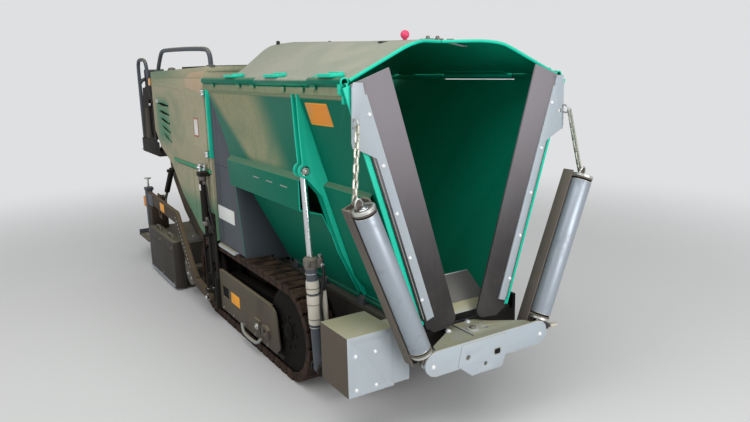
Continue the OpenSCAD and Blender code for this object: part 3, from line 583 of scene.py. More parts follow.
def twin(piece, matrix):
    """A copy with its own mesh, moved by a matrix."""
    copy = piece.copy()
    copy.data = piece.data.copy()
    copy.data.transform(matrix)
    if matrix.determinant() < 0:
        copy.data.flip_normals()
    bpy.context.scene.collection.objects.link(copy)
    return copy


def spread(master, places):
    """Copies of a piece made on the origin at (place, direction) pairs; the first one is spent."""
    copies = [twin(master, Matrix.Translation(p) @ aim(way)) for p, way in places]
    bpy.data.objects.remove(master)
    return copies


def joined(pieces):
    """One piece made of a list of pieces, or the one piece that was given."""
    pieces = pieces if isinstance(pieces, list) else [pieces]
    bpy.ops.object.select_all(action="DESELECT")
    for piece in pieces:
        piece.select_set(True)
    bpy.context.view_layer.objects.active = pieces[0]
    if len(pieces) > 1:
        bpy.ops.object.join()
    return bpy.context.active_object


def done(pieces, name, body, finish, smooth=40):
    """Join pieces of one finish, name them and let them ride on their body."""
    piece = joined(pieces)
    piece.name = name
    piece.data.materials.clear()
    piece.data.materials.append(finishes[finish])
    only(piece)
    bpy.ops.object.shade_smooth_by_angle(angle=math.radians(smooth))
    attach(piece, body)
    return piece


def bolt(radius=0.009, height=0.007, sides=6):
    """Hexagon head on a washer, standing on the origin."""
    bpy.ops.mesh.primitive_cylinder_add(vertices=sides, radius=radius, depth=height,
                                        location=(0, 0, height / 2 + 0.002))
    head = soften(settle(bpy.context.active_object), radius * 0.12, 1, 50)
    washer = turned([(0, 0.0024), (radius * 1.35, 0.0024), (radius * 1.45, 0.0), (0, 0)], 16)
    return joined([head, washer])


def dome(radius=0.011, height=0.007):
    """Round bolt head with a rim."""
    return turned([(0, height), (radius * 0.45, height * 0.92), (radius * 0.8, height * 0.62),
                   (radius, height * 0.15), (radius * 1.02, -0.001), (0, -0.001)], 16)


# pieces carried over from the CAD

CARRIED = {
    "chassis_frame": "frame_black", "hopper_deck": "slate_grey", "conveyor": "dull_steel",
    "hopper_rear_wall": "inner_green", "hopper_apron": "apron_rubber", "side_posts": "slate_grey",
    # track_gear takes the near-black of painted shade.
    "front_weight": "pale_grey", "tracks": "shoe_steel", "track_gear": "shade_black",
    "track_guards": "guard_grey", "engine_block": "frame_black", "engine_housing": "body_green",
    "bonnet_grille": "frame_black", "tow_guides": "frame_black", "operator_deck": "frame_black",
    "console": "slate_grey", "hand_rails": "slate_grey", "auger_hanger": "frame_black",
    "push_bar": "pale_grey", "tow_blocks": "frame_black", "tow_arms": "arm_brown",
    "screed_body": "screed_grey", "lift_barrels": "frame_black", "lift_rods": "chrome",
    "wing": "hopper_green", "seal": "seal_rubber", "strip": "pale_grey", "cover": "roof_green",
    "wing_barrel": "slate_grey", "wing_rod": "chrome", "carrier": "taupe_grey",
    "push_roller": "roller_steel", "chain": "chain_zinc", "screed_ext": "screed_grey",
    "auger": "dull_steel", "door": "body_green", "seat": "seat_vinyl",
}


# faces with another finish: x is their |x|, d their distance, z their height, n their normal and
# out the normal's part away from the middle
TOUCHES = {
    # Wing faces turned to the hopper's middle: painted shade in the shaded green.
    "wing": (("shaded_green", lambda x, d, z, n, out: out < -0.3),
             # Front faces of the wing plate and edges of its ribs: painted highlight in the bright
             # green.
             ("bright_green", lambda x, d, z, n, out: d < 0.009 or 0.033 < d < 0.053),
             ("bright_green", lambda x, d, z, n, out: 0.5155 < d < 0.5285 or 0.5715 < d < 0.5845)),
    # Cover undersides: painted shade in the shaded green; cover edges and sides: painted highlight
    # in the bright green.
    "cover": (("shaded_green", lambda x, d, z, n, out: n.z < -0.4),
              ("bright_green", lambda x, d, z, n, out: abs(n.z) < 0.5 and x < 0.645)),
    "front_weight": (("weight_side", lambda x, d, z, n, out: out > 0.5 and x > 0.6),
                     ("weight_side", lambda x, d, z, n, out: n.y > 0.5 or n.z < -0.5)),
    "operator_deck": (("arm_brown", lambda x, d, z, n, out: x < 0.42 and abs(n.z) < 0.7),),
    "engine_housing": (("arm_brown", lambda x, d, z, n, out: n.z < -0.2 and d > 2.4),),
    "door": (("zinc", lambda x, d, z, n, out: x > 0.6245),),
    # Front faces of the hopper's rear wall, under the covers: painted shade in the shaded green.
    "hopper_rear_wall": (("shaded_green", lambda x, d, z, n, out: n.y < -0.5),),
}


# pieces that later steps make anew
REMADE = ("tracks", "hand_rails", "auger_left", "auger_right", "seat_left", "seat_right")


def entry(table, name):
    """What a table says of a node, by its full name or by its name without left or right."""
    return table.get(name) or table.get(name.rsplit("_", 1)[0])


def roof_lift(x, d):
    """How much the covers rise towards their rear end."""
    return 0.068 * max(0.0, min(1.0, (d - 0.2) / 1.5)) * max(0.0, 1 - abs(x) / 0.632)


class PAVER_OT_finishes(bpy.types.Operator):
    """Mix the paints, metals and rubbers and give each constructed piece its own"""

    bl_idname = "paver.finishes"
    bl_label = "Paints and metals"

    def execute(self, context):
        mix_finishes(context)
        for name, node in frame["nodes"].items():
            node.data.materials.clear()
            node.data.materials.append(finishes[entry(CARRIED, name)])
            for face in node.data.polygons:
                face.material_index = 0
        return {"FINISHED"}


class PAVER_OT_rounded(bpy.types.Operator):
    """Round the edges of copies of the constructed pieces, which then stand for them"""

    bl_idname = "paver.rounded"
    bl_label = "Rounded edges"

    def execute(self, context):
        width = context.scene.paver_sizes.edge_round
        for name, node in frame["nodes"].items():
            if name in REMADE:
                continue
            piece = twin(node, Matrix.Identity(4))
            piece.parent = None
            for key in list(piece.keys()):
                del piece[key]
            if name.startswith("cover"):
                for v in piece.data.vertices:
                    v.co.z += roof_lift(v.co.x, v.co.y - FRONT)
            open_edit(piece)
            bpy.ops.mesh.remove_doubles(threshold=0.00003)
            bpy.ops.mesh.dissolve_limited(angle_limit=math.radians(0.5))
            close_edit()
            if name == "chassis_frame":
                nose = [(-0.05, 0.10), (0.47, 0.10), (0.40, 0.345), (-0.05, 0.345)]
                cut(piece, side_plate(nose, -0.50, 0.50, 0))
            soften(piece, width, 2, 40)
            piece = done(piece, name + "_rounded", node["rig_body"], entry(CARRIED, name), 35)
            for finish, test in entry(TOUCHES, name) or ():
                repaint(piece, finish, test)
            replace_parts(piece, name)
        return {"FINISHED"}


# stage


PALE = (0.74, 0.745, 0.755)
LIGHTS = (
    # name, place, target, size and power
    ("ceiling_light", (-1.5, -2.5, 6.0), (0, 0, 0.5), 6.0, 190),
    ("front_light", (0.4, -8.5, 2.3), (0, -1, 1.2), 3.6, 270),
    ("side_light", (-8.0, -1.5, 3.4), (0, 0, 0.8), 4.5, 120),
)

# the photo's camera: yaw, pitch and roll in degrees, x, d and z of its place, lens in pixels
CAMERA_TURN = (31.708, -12.279, -1.352)
CAMERA_PLACE = (-2.097, -2.520, 1.843)
FOCAL_LENGTH, PICTURE_WIDTH, SENSOR_WIDTH = 656.5, 750, 36


class PAVER_OT_stage(bpy.types.Operator):
    """Pale floor, soft studio light and the camera"""

    bl_idname = "paver.stage"
    bl_label = "Floor, light and camera"

    def execute(self, context):
        sizes = context.scene.paver_sizes
        bpy.ops.mesh.primitive_grid_add(x_subdivisions=8, y_subdivisions=8, size=90)
        floor = bpy.context.active_object
        floor.name = "floor"
        concrete = Finish("pale_floor")
        cloud = concrete.noise(0.8, 4, 0.5)
        concrete.set(base_color=concrete.mix(cloud * 0.3, (0.66, 0.66, 0.65), (0.58, 0.58, 0.57)),
                     roughness=0.75)
        far = ((concrete.x ** 2 + concrete.y ** 2) ** 0.5).rise(2.6, 7.5)
        glow = concrete.tree.nodes.new("ShaderNodeEmission")
        glow.inputs[0].default_value = (*PALE, 1)
        blend = concrete.tree.nodes.new("ShaderNodeMixShader")
        rays = concrete.tree.nodes.new("ShaderNodeLightPath")
        seen_by = Wire(concrete, rays.outputs["Is Camera Ray"]).most(
            Wire(concrete, rays.outputs["Is Glossy Ray"]))
        concrete.tree.links.new((far * seen_by).socket, blend.inputs[0])
        concrete.tree.links.new(concrete.shader.outputs[0], blend.inputs[1])
        concrete.tree.links.new(glow.outputs[0], blend.inputs[2])
        concrete.tree.links.new(blend.outputs[0], concrete.output.inputs[0])
        floor.data.materials.append(concrete.material)
        world = context.scene.world or bpy.data.worlds.new("studio")
        context.scene.world = world
        world.use_nodes = True
        tree = world.node_tree
        tree.nodes.clear()
        back = tree.nodes.new("ShaderNodeBackground")
        back.inputs[0].default_value = (0.93, 0.95, 0.97, 1)
        back.inputs[1].default_value = sizes.sky_strength
        seen = tree.nodes.new("ShaderNodeBackground")
        seen.inputs[0].default_value = (*PALE, 1)
        ray = tree.nodes.new("ShaderNodeLightPath")
        mix = tree.nodes.new("ShaderNodeMixShader")
        out = tree.nodes.new("ShaderNodeOutputWorld")
        tree.links.new(ray.outputs["Is Camera Ray"], mix.inputs[0])
        tree.links.new(back.outputs[0], mix.inputs[1])
        tree.links.new(seen.outputs[0], mix.inputs[2])
        tree.links.new(mix.outputs[0], out.inputs[0])
        for name, place, target, size, power in LIGHTS:
            bpy.ops.object.light_add(type="AREA", location=place)
            lamp = bpy.context.active_object
            lamp.name = name
            way = Vector(target) - Vector(place)
            lamp.rotation_euler = way.to_track_quat("-Z", "Y").to_euler()
            lamp.data.size = size
            lamp.data.energy = power
        bpy.ops.object.camera_add()
        camera = bpy.context.active_object
        camera.name = "camera"
        yaw, pitch, roll = [math.radians(angle) for angle in CAMERA_TURN]
        look = Vector((math.sin(yaw) * math.cos(pitch), math.cos(yaw) * math.cos(pitch),
                       math.sin(pitch)))
        flat = Vector((math.cos(yaw), -math.sin(yaw), 0))
        rise = flat.cross(look)
        right = math.cos(roll) * flat + math.sin(roll) * rise
        upward = -math.sin(roll) * flat + math.cos(roll) * rise
        turn = Matrix((right, upward, -look)).transposed().to_4x4()
        camera.matrix_world = Matrix.Translation(at(*CAMERA_PLACE)) @ turn
        camera.data.sensor_width = SENSOR_WIDTH
        camera.data.lens = FOCAL_LENGTH / PICTURE_WIDTH * SENSOR_WIDTH
        context.scene.camera = camera
        context.scene.view_settings.view_transform = "Standard"
        return {"FINISHED"}


# hopper


def slab(x0, x1, d0, d1, z0, z1, width=0.002):
    """A bevelled block between two x, two distances and two heights."""
    centre = at((x0 + x1) / 2, (d0 + d1) / 2, (z0 + z1) / 2)
    return block(centre, (abs(x1 - x0), abs(d1 - d0), abs(z1 - z0)), width)


def side_plate(points, x0, x1, width=0.0015):
    """A plate whose outline of (d, z) points stands across x."""
    return plate([at(x0, d, z) for d, z in points], (x1 - x0, 0, 0), width)


def front_plate(points, d0, d1, width=0.0015):
    """A plate whose outline of (x, z) points faces forward."""
    return plate([at(x, d0, z) for x, z in points], (0, d1 - d0, 0), width)


def flat_plate(points, z0, z1, width=0.0015):
    """A level plate whose outline is given in (x, d) points."""
    return plate([at(x, d, z0) for x, d in points], (0, 0, z1 - z0), width)


def rectangle(x0, x1, d0, d1):
    """Outline of a rectangle, as pairs."""
    return [(x0, d0), (x1, d0), (x1, d1), (x0, d1)]


def round_corners(x0, x1, d0, d1, radius, steps=4):
    """Outline of a rectangle with round corners, as pairs."""
    spots = []
    for cx, cd, start in ((x1 - radius, d1 - radius, 0), (x0 + radius, d1 - radius, 90),
                          (x0 + radius, d0 + radius, 180), (x1 - radius, d0 + radius, 270)):
        for i in range(steps + 1):
            a = math.radians(start + 90 * i / steps)
            spots.append((cx + radius * math.cos(a), cd + radius * math.sin(a)))
    return spots


def ring(radius, thick, place=(0, 0, 0), direction=UP, sides=28):
    """A round ring of round wire."""
    bpy.ops.mesh.primitive_torus_add(major_segments=sides, minor_segments=10, major_radius=radius,
                                     minor_radius=thick)
    return moved(bpy.context.active_object, place, direction)


def both(pieces, name, body, finish, smooth=40):
    """Pieces made on the machine's left side, and the same mirrored to its right."""
    master = joined(pieces)
    other = twin(master, MIRROR)
    if body == "chassis" or body in frame["bodies"]:
        return [done([master, other], name, body, finish, smooth)]
    return [done(master, name + "_left", body + "_left", finish, smooth),
            done(other, name + "_right", body + "_right", finish, smooth)]


def near(pieces, name, body, finish, smooth=40):
    """Pieces made on the machine's left side and moved by mirroring to its right side only."""
    master = joined(pieces)
    other = twin(master, MIRROR)
    bpy.data.objects.remove(master)
    return done(other, name, body, finish, smooth)


def repaint(piece, finish, test):
    """Another finish on the faces whose (|x|, distance, z) and normal pass the test."""
    piece.data.materials.append(finishes[finish])
    slot = len(piece.data.materials) - 1
    for face in piece.data.polygons:
        c, n = face.center, face.normal
        if test(abs(c.x), c.y - FRONT, c.z, n, n.x * (1 if c.x > 0 else -1)):
            face.material_index = slot
    return piece


# x and height of the folded wing plate's foot and top, and of the wing cylinder's two ends
WING_FOOT, WING_TOP = (0.262, 0.548), (0.664, 1.785)
CYLINDER_FOOT, CYLINDER_EYE = (0.588, 0.212), (0.636, 1.333)
WING_LEAN = math.atan2(WING_TOP[0] - WING_FOOT[0], WING_TOP[1] - WING_FOOT[1])
OUT_OF_WING = Vector((math.cos(WING_LEAN), 0, -math.sin(WING_LEAN)))


def on_wing(z, off=0.0, d=0.0):
    """A place on the wing plate at a height, moved outwards by off."""
    foot_x, foot_z = WING_FOOT
    return at(foot_x + (z - foot_z) * math.tan(WING_LEAN) + off / math.cos(WING_LEAN), d, z)


class PAVER_OT_wing_trim(bpy.types.Operator):
    """Bolts, clips, rings, pin heads, seal backs, shackles and plain labels of the wings"""

    bl_idname = "paver.wing_trim"
    bl_label = "Wing trim"

    def execute(self, context):
        radius = context.scene.paver_sizes.bolt_radius
        places = ((0.569, 1.642), (0.501, 1.406), (0.432, 1.172), (0.361, 0.945), (0.292, 0.717))
        both(spread(dome(radius * 1.15, 0.008), [(at(x, -0.020, z), FORWARD) for x, z in places]),
             "strip_bolts", "wing", "white_zinc")
        tube_x, tube_z = WING_TOP
        # Rings at the tube ends in the bright green: painted highlight.
        both([ring(0.0185, 0.0042, at(tube_x, 0.029, tube_z), FORWARD),
              ring(0.0185, 0.0042, at(tube_x, 1.986, tube_z), FORWARD)], "tube_rings", "wing",
             "bright_green")
        clips = [slab(0.671, 0.687, d - 0.02, d + 0.02, 1.735, 1.759) for d in (0.431, 0.655)]
        clips += [slab(0.669, 0.689, d - 0.022, d + 0.022, 1.748, 1.772)
                  for d in (0.300, 1.066, 1.290, 1.766)]
        both(clips, "tube_clips", "wing", "hopper_green")
        corners = rectangle(0.25, 0.47, 1.677, 1.58)
        both(plate([on_wing(z, 0.0128, d) for d, z in corners], OUT_OF_WING * 0.0012, 0.0004, 1),
             "wing_label", "wing", "orange_label")
        rim = round_corners(0.243, 0.477, 1.573, 1.684, 0.008)
        both(plate([on_wing(z, 0.0121, d) for d, z in rim], OUT_OF_WING * 0.0008, 0),
             "wing_label_rim", "wing", "yellow_label")
        eye_x, eye_z = CYLINDER_EYE
        washer = [(0, 0.004), (0.0170, 0.004), (0.0185, 0.002), (0.0185, 0), (0, 0)]
        head = [(0, 0.009), (0.006, 0.0086), (0.011, 0.006), (0.0125, 0.002), (0.0125, 0), (0, 0)]
        both([turned(washer, 28, at(eye_x, 0.5135, eye_z), FORWARD),
              turned(head, 24, at(eye_x, 0.5100, eye_z), FORWARD)], "eye_pin", "wing_rod", "zinc")
        welds = [bar(on_wing(z, 0.0135, 0.506), on_wing(z - 0.11, 0.0135, 0.506), 0.004, 8, 0)
                 for z in (1.70, 1.45, 1.2)]
        both(welds, "rib_welds", "wing", "hopper_green")
        marks = [slab(0.6535, 0.6548, d, d + 0.09, 1.218, 1.224, 0.0004)
                 for d in (0.72, 0.92, 1.12)]
        both(marks, "ledge_scuffs", "wing", "scuff_grey")
        corners = ((1.50, -0.018), (1.50, 0.004), (0.60, 0.004), (0.60, -0.018))
        band = [on_wing(z, off, -0.0015) for z, off in corners]
        both([plate(band, (0, -0.010, 0), 0.003)], "seal_backs", "wing", "hose_rubber")
        bow = ((-0.008, 1.600), (-0.012, 1.622), (-0.036, 1.630), (-0.060, 1.618), (-0.066, 1.598),
               (-0.052, 1.584), (-0.026, 1.588), (-0.012, 1.596))
        both(hose([at(0.652, d, z) for d, z in bow], 0.0045), "chain_shackles", "wing", "zinc")
        both(bar(on_wing(1.50, -0.006, -0.0115), on_wing(0.61, -0.006, -0.0115), 0.0022, 8, 0),
             "seal_lines", "wing", "scuff_grey")
        return {"FINISHED"}


# the covers' middle surface: level to one x, round to the next, and sloping from there
LEVEL_END, ROUND_END, ROUND_RADIUS = 0.164, 0.342, 0.430
LEVEL_HEIGHT, SLOPE_HEIGHT, SLOPE = 1.970, 1.931, 0.456


def under_cover(x, d=0.0):
    """Height of the covers' middle surface at a place."""
    if x < LEVEL_END:
        low = LEVEL_HEIGHT
    elif x < ROUND_END:
        drop = math.sqrt(ROUND_RADIUS ** 2 - (x - LEVEL_END) ** 2)
        low = LEVEL_HEIGHT - ROUND_RADIUS + drop
    else:
        low = SLOPE_HEIGHT - SLOPE * (x - ROUND_END)
    return low + roof_lift(x, d)


class PAVER_OT_cover_trim(bpy.types.Operator):
    """Lugs, knob, catches, rims and a pale slot of the covers, and the curtain behind them"""

    bl_idname = "paver.cover_trim"
    bl_label = "Cover trim"

    def execute(self, context):
        lugs, ribs = [], []
        for d0, d1 in ((0.095, 0.255), (0.715, 0.895), (1.335, 1.530)):
            lug = flat_plate(round_corners(0.612, 0.693, d0, d1, 0.028), 1.806, 1.824, 0.0075)
            lugs.append(lug)
            ribs.append(slab(0.606, 0.640, d0 + 0.03, d1 - 0.03, 1.812, 1.831, 0.006))
        both(lugs + ribs, "cover_lugs", "cover", "bright_green")
        ball = [(0, 0.052), (0.010, 0.0505), (0.019, 0.043), (0.023, 0.031), (0.020, 0.018),
                (0.011, 0.010), (0.009, 0.0), (0, 0)]
        done(turned(ball, 28, at(-0.160, 0.290, 1.974)), "cover_knob", "cover_right", "pink_cap")
        both([slab(0.012, 0.050, 0.245, 0.300, 1.9735, 1.984, 0.003),
              turned([(0, 0.016), (0.008, 0.015), (0.011, 0.006), (0.011, 0), (0, 0)], 16,
                     at(0.031, 0.272, 1.983)),
              ring(0.015, 0.0035, at(0.085, 0.235, 1.978), UP, 20)], "cover_catch", "cover",
             "dull_steel")
        both([slab(0.205, 0.285, 0.330, 0.352, 1.966, 1.974, 0.003),
              turned([(0, 0.026), (0.010, 0.024), (0.014, 0.014), (0.012, 0.002), (0, 0)], 18,
                     at(0.200, 1.760, under_cover(0.2, 1.76)))], "cover_stops", "cover",
             "hose_rubber")
        slot = rectangle(0.185, 0.290, 0.345, 0.385)
        piece = plate([at(x, d, under_cover(x) - 0.0045) for x, d in slot], (0, 0, 0.0015), 0)
        done(piece, "cover_slot", "cover_left", "white_label")
        low = [at(x, 1.986, 1.690) for x in (-0.596, -0.25, 0, 0.25, 0.596)]
        edge = ((0.612, 1.500), (0.500, 1.582), (0.342, 1.690), (0.257, 1.748), (0.120, 1.828),
                (0, 1.895))
        high = [at(x, d, under_cover(x, d) - 0.0065) for x, d in edge]
        high += [Vector((-p.x, p.y, p.z)) for p in reversed(high[:-1])]
        curtain = traced(low + high)
        bpy.ops.mesh.select_all(action="SELECT")
        bpy.ops.mesh.edge_face_add()
        bpy.ops.mesh.quads_convert_to_tris()
        close_edit()
        modify(curtain, "SOLIDIFY", thickness=0.003, offset=0.0)
        # The curtain takes the shaded green of painted shade.
        done(curtain, "rear_curtain", "chassis", "shaded_green")
        # Rim along the covers' front edge in the bright green: painted highlight.
        rim = [(0.640, 0.0315)] + [(0.600 - i * 0.0426, 0.0345 + i * 0.0033) for i in range(9)]
        rim += [(0.200, 0.0935), (0.150, 0.1225), (0.100, 0.152), (0.050, 0.1815), (0.006, 0.2075)]
        line = [at(x, d - 0.002, under_cover(x, d) - 0.004) for x, d in rim]
        both(hose(line, 0.0085), "cover_rims", "cover", "bright_green")
        return {"FINISHED"}


# rollers and push bar


ROLLER_LEAN = math.radians(22)
ALONG_ROLLER = Vector((math.sin(ROLLER_LEAN), 0, math.cos(ROLLER_LEAN)))
CARRIER_FOOT = (0.360, -0.146, 0.440)


def at_carrier(x, y, z):
    """A place in the folded left carrier's own frame: z along its roller."""
    cos, sin = math.cos(ROLLER_LEAN), math.sin(ROLLER_LEAN)
    foot_x, foot_d, foot_z = CARRIER_FOOT
    return at(foot_x + x * cos + z * sin, foot_d + y, foot_z - x * sin + z * cos)


class PAVER_OT_roller_trim(bpy.types.Operator):
    """Bearing rims, shaft ends, gap rings, shackles and pins of the push rollers"""

    bl_idname = "paver.roller_trim"
    bl_label = "Roller trim"

    def execute(self, context):
        ends = []
        for low, turn in ((0.8685, 1), (0.0845, -1)):
            rim = [(0.0545, -0.001), (0.0545, 0.011), (0.050, 0.0135), (0.041, 0.0135),
                   (0.039, 0.010), (0.039, -0.001)]
            ends.append(turned(rim, 32, at_carrier(0, 0, low), ALONG_ROLLER * turn))
        both(ends, "bearing_rims", "carrier", "zinc")
        # Black disc in the bearing's hollow: painted shade.
        pocket = turned([(0, 0.0012), (0.034, 0.0012), (0.034, 0), (0, 0)], 28,
                        at_carrier(0, 0, 0.869), ALONG_ROLLER)
        both(pocket, "bearing_pockets", "carrier", "black_and_recess_shade")
        shaft = [(0, 0.016), (0.007, 0.0155), (0.013, 0.012), (0.014, 0.0), (0, 0)]
        both([turned(shaft, 20, at_carrier(0, 0, 0.8695), ALONG_ROLLER),
              turned([(0, 0.009), (0.020, 0.009), (0.022, 0.007), (0.022, 0), (0, 0)], 6,
                     at_carrier(0, 0, 0.8695), ALONG_ROLLER)], "shaft_ends", "carrier", "chrome")
        # Black rings at the roller ends: painted shade in the gap between roller and carrier.
        both([turned([(0.0500, 0), (0.0500, 0.0085), (0.012, 0.0085), (0.012, 0)], 32,
                     at_carrier(0, 0, low), ALONG_ROLLER) for low in (0.8495, 0.0945)],
             "roller_gap_rings", "carrier", "black_and_recess_shade")
        rims = [ring(0.0525, 0.0022, at_carrier(0, 0, z), ALONG_ROLLER, 36)
                for z in (0.1055, 0.8480)]
        both(rims, "roller_rims", "push_roller", "zinc")
        shackle = hose([at_carrier(-0.012, 0.020, 0.884), at_carrier(-0.014, 0.014, 0.905),
                        at_carrier(-0.004, 0.012, 0.925), at_carrier(0.012, 0.014, 0.925),
                        at_carrier(0.026, 0.014, 0.905), at_carrier(0.024, 0.020, 0.884)], 0.0045)
        bolts = spread(bolt(0.008, 0.006), [(at_carrier(x, 0.070, 0.869), ALONG_ROLLER)
                                            for x in (-0.038, 0.038)])
        both([shackle] + bolts, "carrier_shackle", "carrier", "zinc")
        both([turned([(0, 0.010), (0.011, 0.009), (0.016, 0.004), (0.016, 0), (0, 0)], 20,
                     at_carrier(0, -0.0305, 0), FORWARD),
              bar(at_carrier(-0.030, -0.02, 0.05), at_carrier(-0.030, -0.02, 0.09), 0.005, 10)],
             "carrier_pins", "carrier", "zinc")
        seams = [bar(at_carrier(0.0605, 0.035, z), at_carrier(0.0605, 0.080, z), 0.0025, 8, 0)
                 for z in (0.10, 0.845)]
        both(seams, "carrier_seams", "carrier", "taupe_grey")
        return {"FINISHED"}


class PAVER_OT_bar_trim(bpy.types.Operator):
    """Bolts and small fittings of the push bar, the front weight and the apron"""

    bl_idname = "paver.bar_trim"
    bl_label = "Push bar and weight trim"

    def execute(self, context):
        ends = spread(dome(0.0125, 0.006), [(at(x, -0.1940, 0.443), FORWARD)
                                            for x in (-0.352, 0.352)])
        ends += spread(bolt(0.012, 0.008), [(at(0.042, 0.030, 0.510), UP),
                                            (at(-0.120, -0.012, 0.510), UP)])
        done(ends, "bar_bolts", "push_bar", "white_zinc")
        pin = [turned([(0, 0.012), (0.014, 0.011), (0.018, 0.006), (0.018, 0), (0, 0)], 24,
                      at(0, -0.060, 0.517)),
               turned([(0, 0.006), (0.010, 0.0055), (0.013, 0), (0, 0)], 20,
                      at(-0.144, -0.186, 0.440), FORWARD)]
        done(pin, "hitch_pin_head", "push_bar", "dull_steel")
        rim = round_corners(0.022, 0.070, 0.409, 0.447, 0.010)
        done([front_plate(rim, -0.2012, -0.1995, 0.0005)], "towing_slot_rim", "push_bar",
             "scuff_grey")
        # Black inset in the towing slot: painted shade.
        done([front_plate(round_corners(0.027, 0.065, 0.414, 0.442, 0.008), -0.2016, -0.2010, 0)],
             "towing_slot", "push_bar", "black_and_recess_shade")
        done([slab(0.398, 0.428, -0.185, -0.160, 0.452, 0.486, 0.004),
              bar(at(0.412, -0.172, 0.470), at(0.445, -0.176, 0.466), 0.009, 16)], "lever_fork",
             "carrier_left", "hose_rubber")
        done([bar(at(0.440, -0.176, 0.466), at(0.486, -0.180, 0.462), 0.013, 18, 0.004)],
             "lever_grip", "carrier_left", "wrap_white")
        heads = [(at(x, 0.0120, z), FORWARD) for x in (0.660, 0.548) for z in (0.500, 0.325)]
        near(spread(dome(0.0115, 0.006), heads), "weight_bolts", "chassis", "white_zinc")
        plugs = [(at(x, 0.0125, z), BACK) for x in (0.670, 0.480) for z in (0.560, 0.320)]
        near([slab(0.350, 0.4460, 0.0125, 0.150, 0.300, 0.590, 0.003)], "weight_inner", "chassis",
             "pale_grey")
        near(spread(turned([(0, 0), (0.0092, 0.0006), (0.0092, 0.020), (0, 0.020)], 20), plugs),
             "weight_plugs", "chassis", "pale_grey")
        slope = [at(x, d, z) for x, d, z in ((-0.205, 0.0455, 0.563), (0.205, 0.0455, 0.563),
                                             (0.205, 0.0965, 0.603), (-0.205, 0.0965, 0.603))]
        done([plate(slope, (0, -0.003, 0.004), 0.001)], "apron_strip", "chassis", "pale_grey")
        done([bar(at(-0.224, 0.2540, 0.709), at(0.224, 0.2540, 0.709), 0.0035, 8, 0.001)],
             "apron_edge", "chassis", "white_zinc")
        return {"FINISHED"}


# wing cylinders and side columns


def at_cylinder(x, y, z):
    """A place in the left wing cylinder's own frame: z along its rod."""
    foot_x, foot_z = CYLINDER_FOOT
    lean = math.atan2(CYLINDER_EYE[0] - foot_x, CYLINDER_EYE[1] - foot_z)
    cos, sin = math.cos(lean), math.sin(lean)
    return at(foot_x + x * cos + z * sin, 0.550 + y, foot_z - x * sin + z * cos)


class PAVER_OT_cylinder_trim(bpy.types.Operator):
    """Heads, ports, hoses and pale wraps of the wing cylinders"""

    bl_idname = "paver.cylinder_trim"
    bl_label = "Cylinder trim"

    def execute(self, context):
        along = at_cylinder(0, 0, 1) - at_cylinder(0, 0, 0)
        head = [(0.0195, 0.652), (0.030, 0.650), (0.036, 0.644), (0.0405, 0.640), (0.0405, 0.604),
                (0.0365, 0.600), (0.0365, 0.588), (0.0325, 0.584), (0.0325, 0.640), (0.0195, 0.640)]
        both([turned(head, 32, at_cylinder(0, 0, 0), along),
              block(at_cylinder(-0.040, -0.010, 0.612), (0.034, 0.044, 0.050), 0.004),
              block(at_cylinder(0.030, -0.024, 0.622), (0.030, 0.030, 0.040), 0.004)],
             "cylinder_heads", "wing_barrel", "dull_steel")
        both([turned([(0, 0.020), (0.010, 0.020), (0.012, 0.018), (0.012, 0), (0, 0)], 6,
                     at_cylinder(-0.046, -0.030, 0.604), FORWARD),
              turned([(0, 0.022), (0.009, 0.022), (0.011, 0.020), (0.011, 0), (0, 0)], 6,
                     at_cylinder(-0.050, -0.012, 0.637), along),
              ring(0.0345, 0.0022, at_cylinder(0, 0, 0.560), along),
              ring(0.0345, 0.0022, at_cylinder(0, 0, 0.250), along)], "cylinder_ports",
             "wing_barrel", "zinc")
        low = [at_cylinder(-0.046, -0.046, 0.604), at_cylinder(-0.050, -0.056, 0.575),
               at_cylinder(-0.038, -0.050, 0.500), at_cylinder(-0.020, -0.048, 0.420),
               at_cylinder(-0.014, -0.046, 0.330), at_cylinder(-0.022, -0.046, 0.230),
               at_cylinder(-0.010, -0.044, 0.150), at_cylinder(0, -0.034, 0.090)]
        high = [at_cylinder(-0.050, -0.012, 0.655), at_cylinder(-0.062, -0.016, 0.640),
                at_cylinder(-0.058, -0.034, 0.560), at_cylinder(-0.050, -0.030, 0.450),
                at_cylinder(-0.046, -0.020, 0.330), at_cylinder(-0.040, -0.016, 0.200),
                at_cylinder(-0.034, 0, 0.120)]
        radius = context.scene.paver_sizes.hose_radius
        both([hose(low, radius * 0.8), hose(high, radius)], "cylinder_hoses", "wing_barrel",
             "hose_rubber")
        sleeve = [(0.0330, 0.268), (0.0370, 0.268), (0.0385, 0.275), (0.0375, 0.350),
                  (0.0390, 0.395), (0.0375, 0.432), (0.0345, 0.436), (0.0325, 0.430)]
        cuff = [(0.0330, 0.448), (0.0360, 0.450), (0.0370, 0.500), (0.0350, 0.520), (0.0325, 0.520)]
        side = [(0.004, 0.270), (0.0135, 0.272), (0.0150, 0.350), (0.0135, 0.445), (0.004, 0.446)]
        both([turned(sleeve, 30, at_cylinder(0, 0, 0), along),
              turned(cuff, 30, at_cylinder(0, 0, 0), along),
              turned(side, 18, at_cylinder(-0.052, -0.026, 0.010), along)], "cylinder_wraps",
             "wing_barrel", "wrap_white")
        ties = [ring(0.0392, 0.0016, at_cylinder(0, 0, z), along) for z in (0.300, 0.385, 0.478)]
        both(ties, "wrap_ties", "wing_barrel", "hose_rubber")
        return {"FINISHED"}


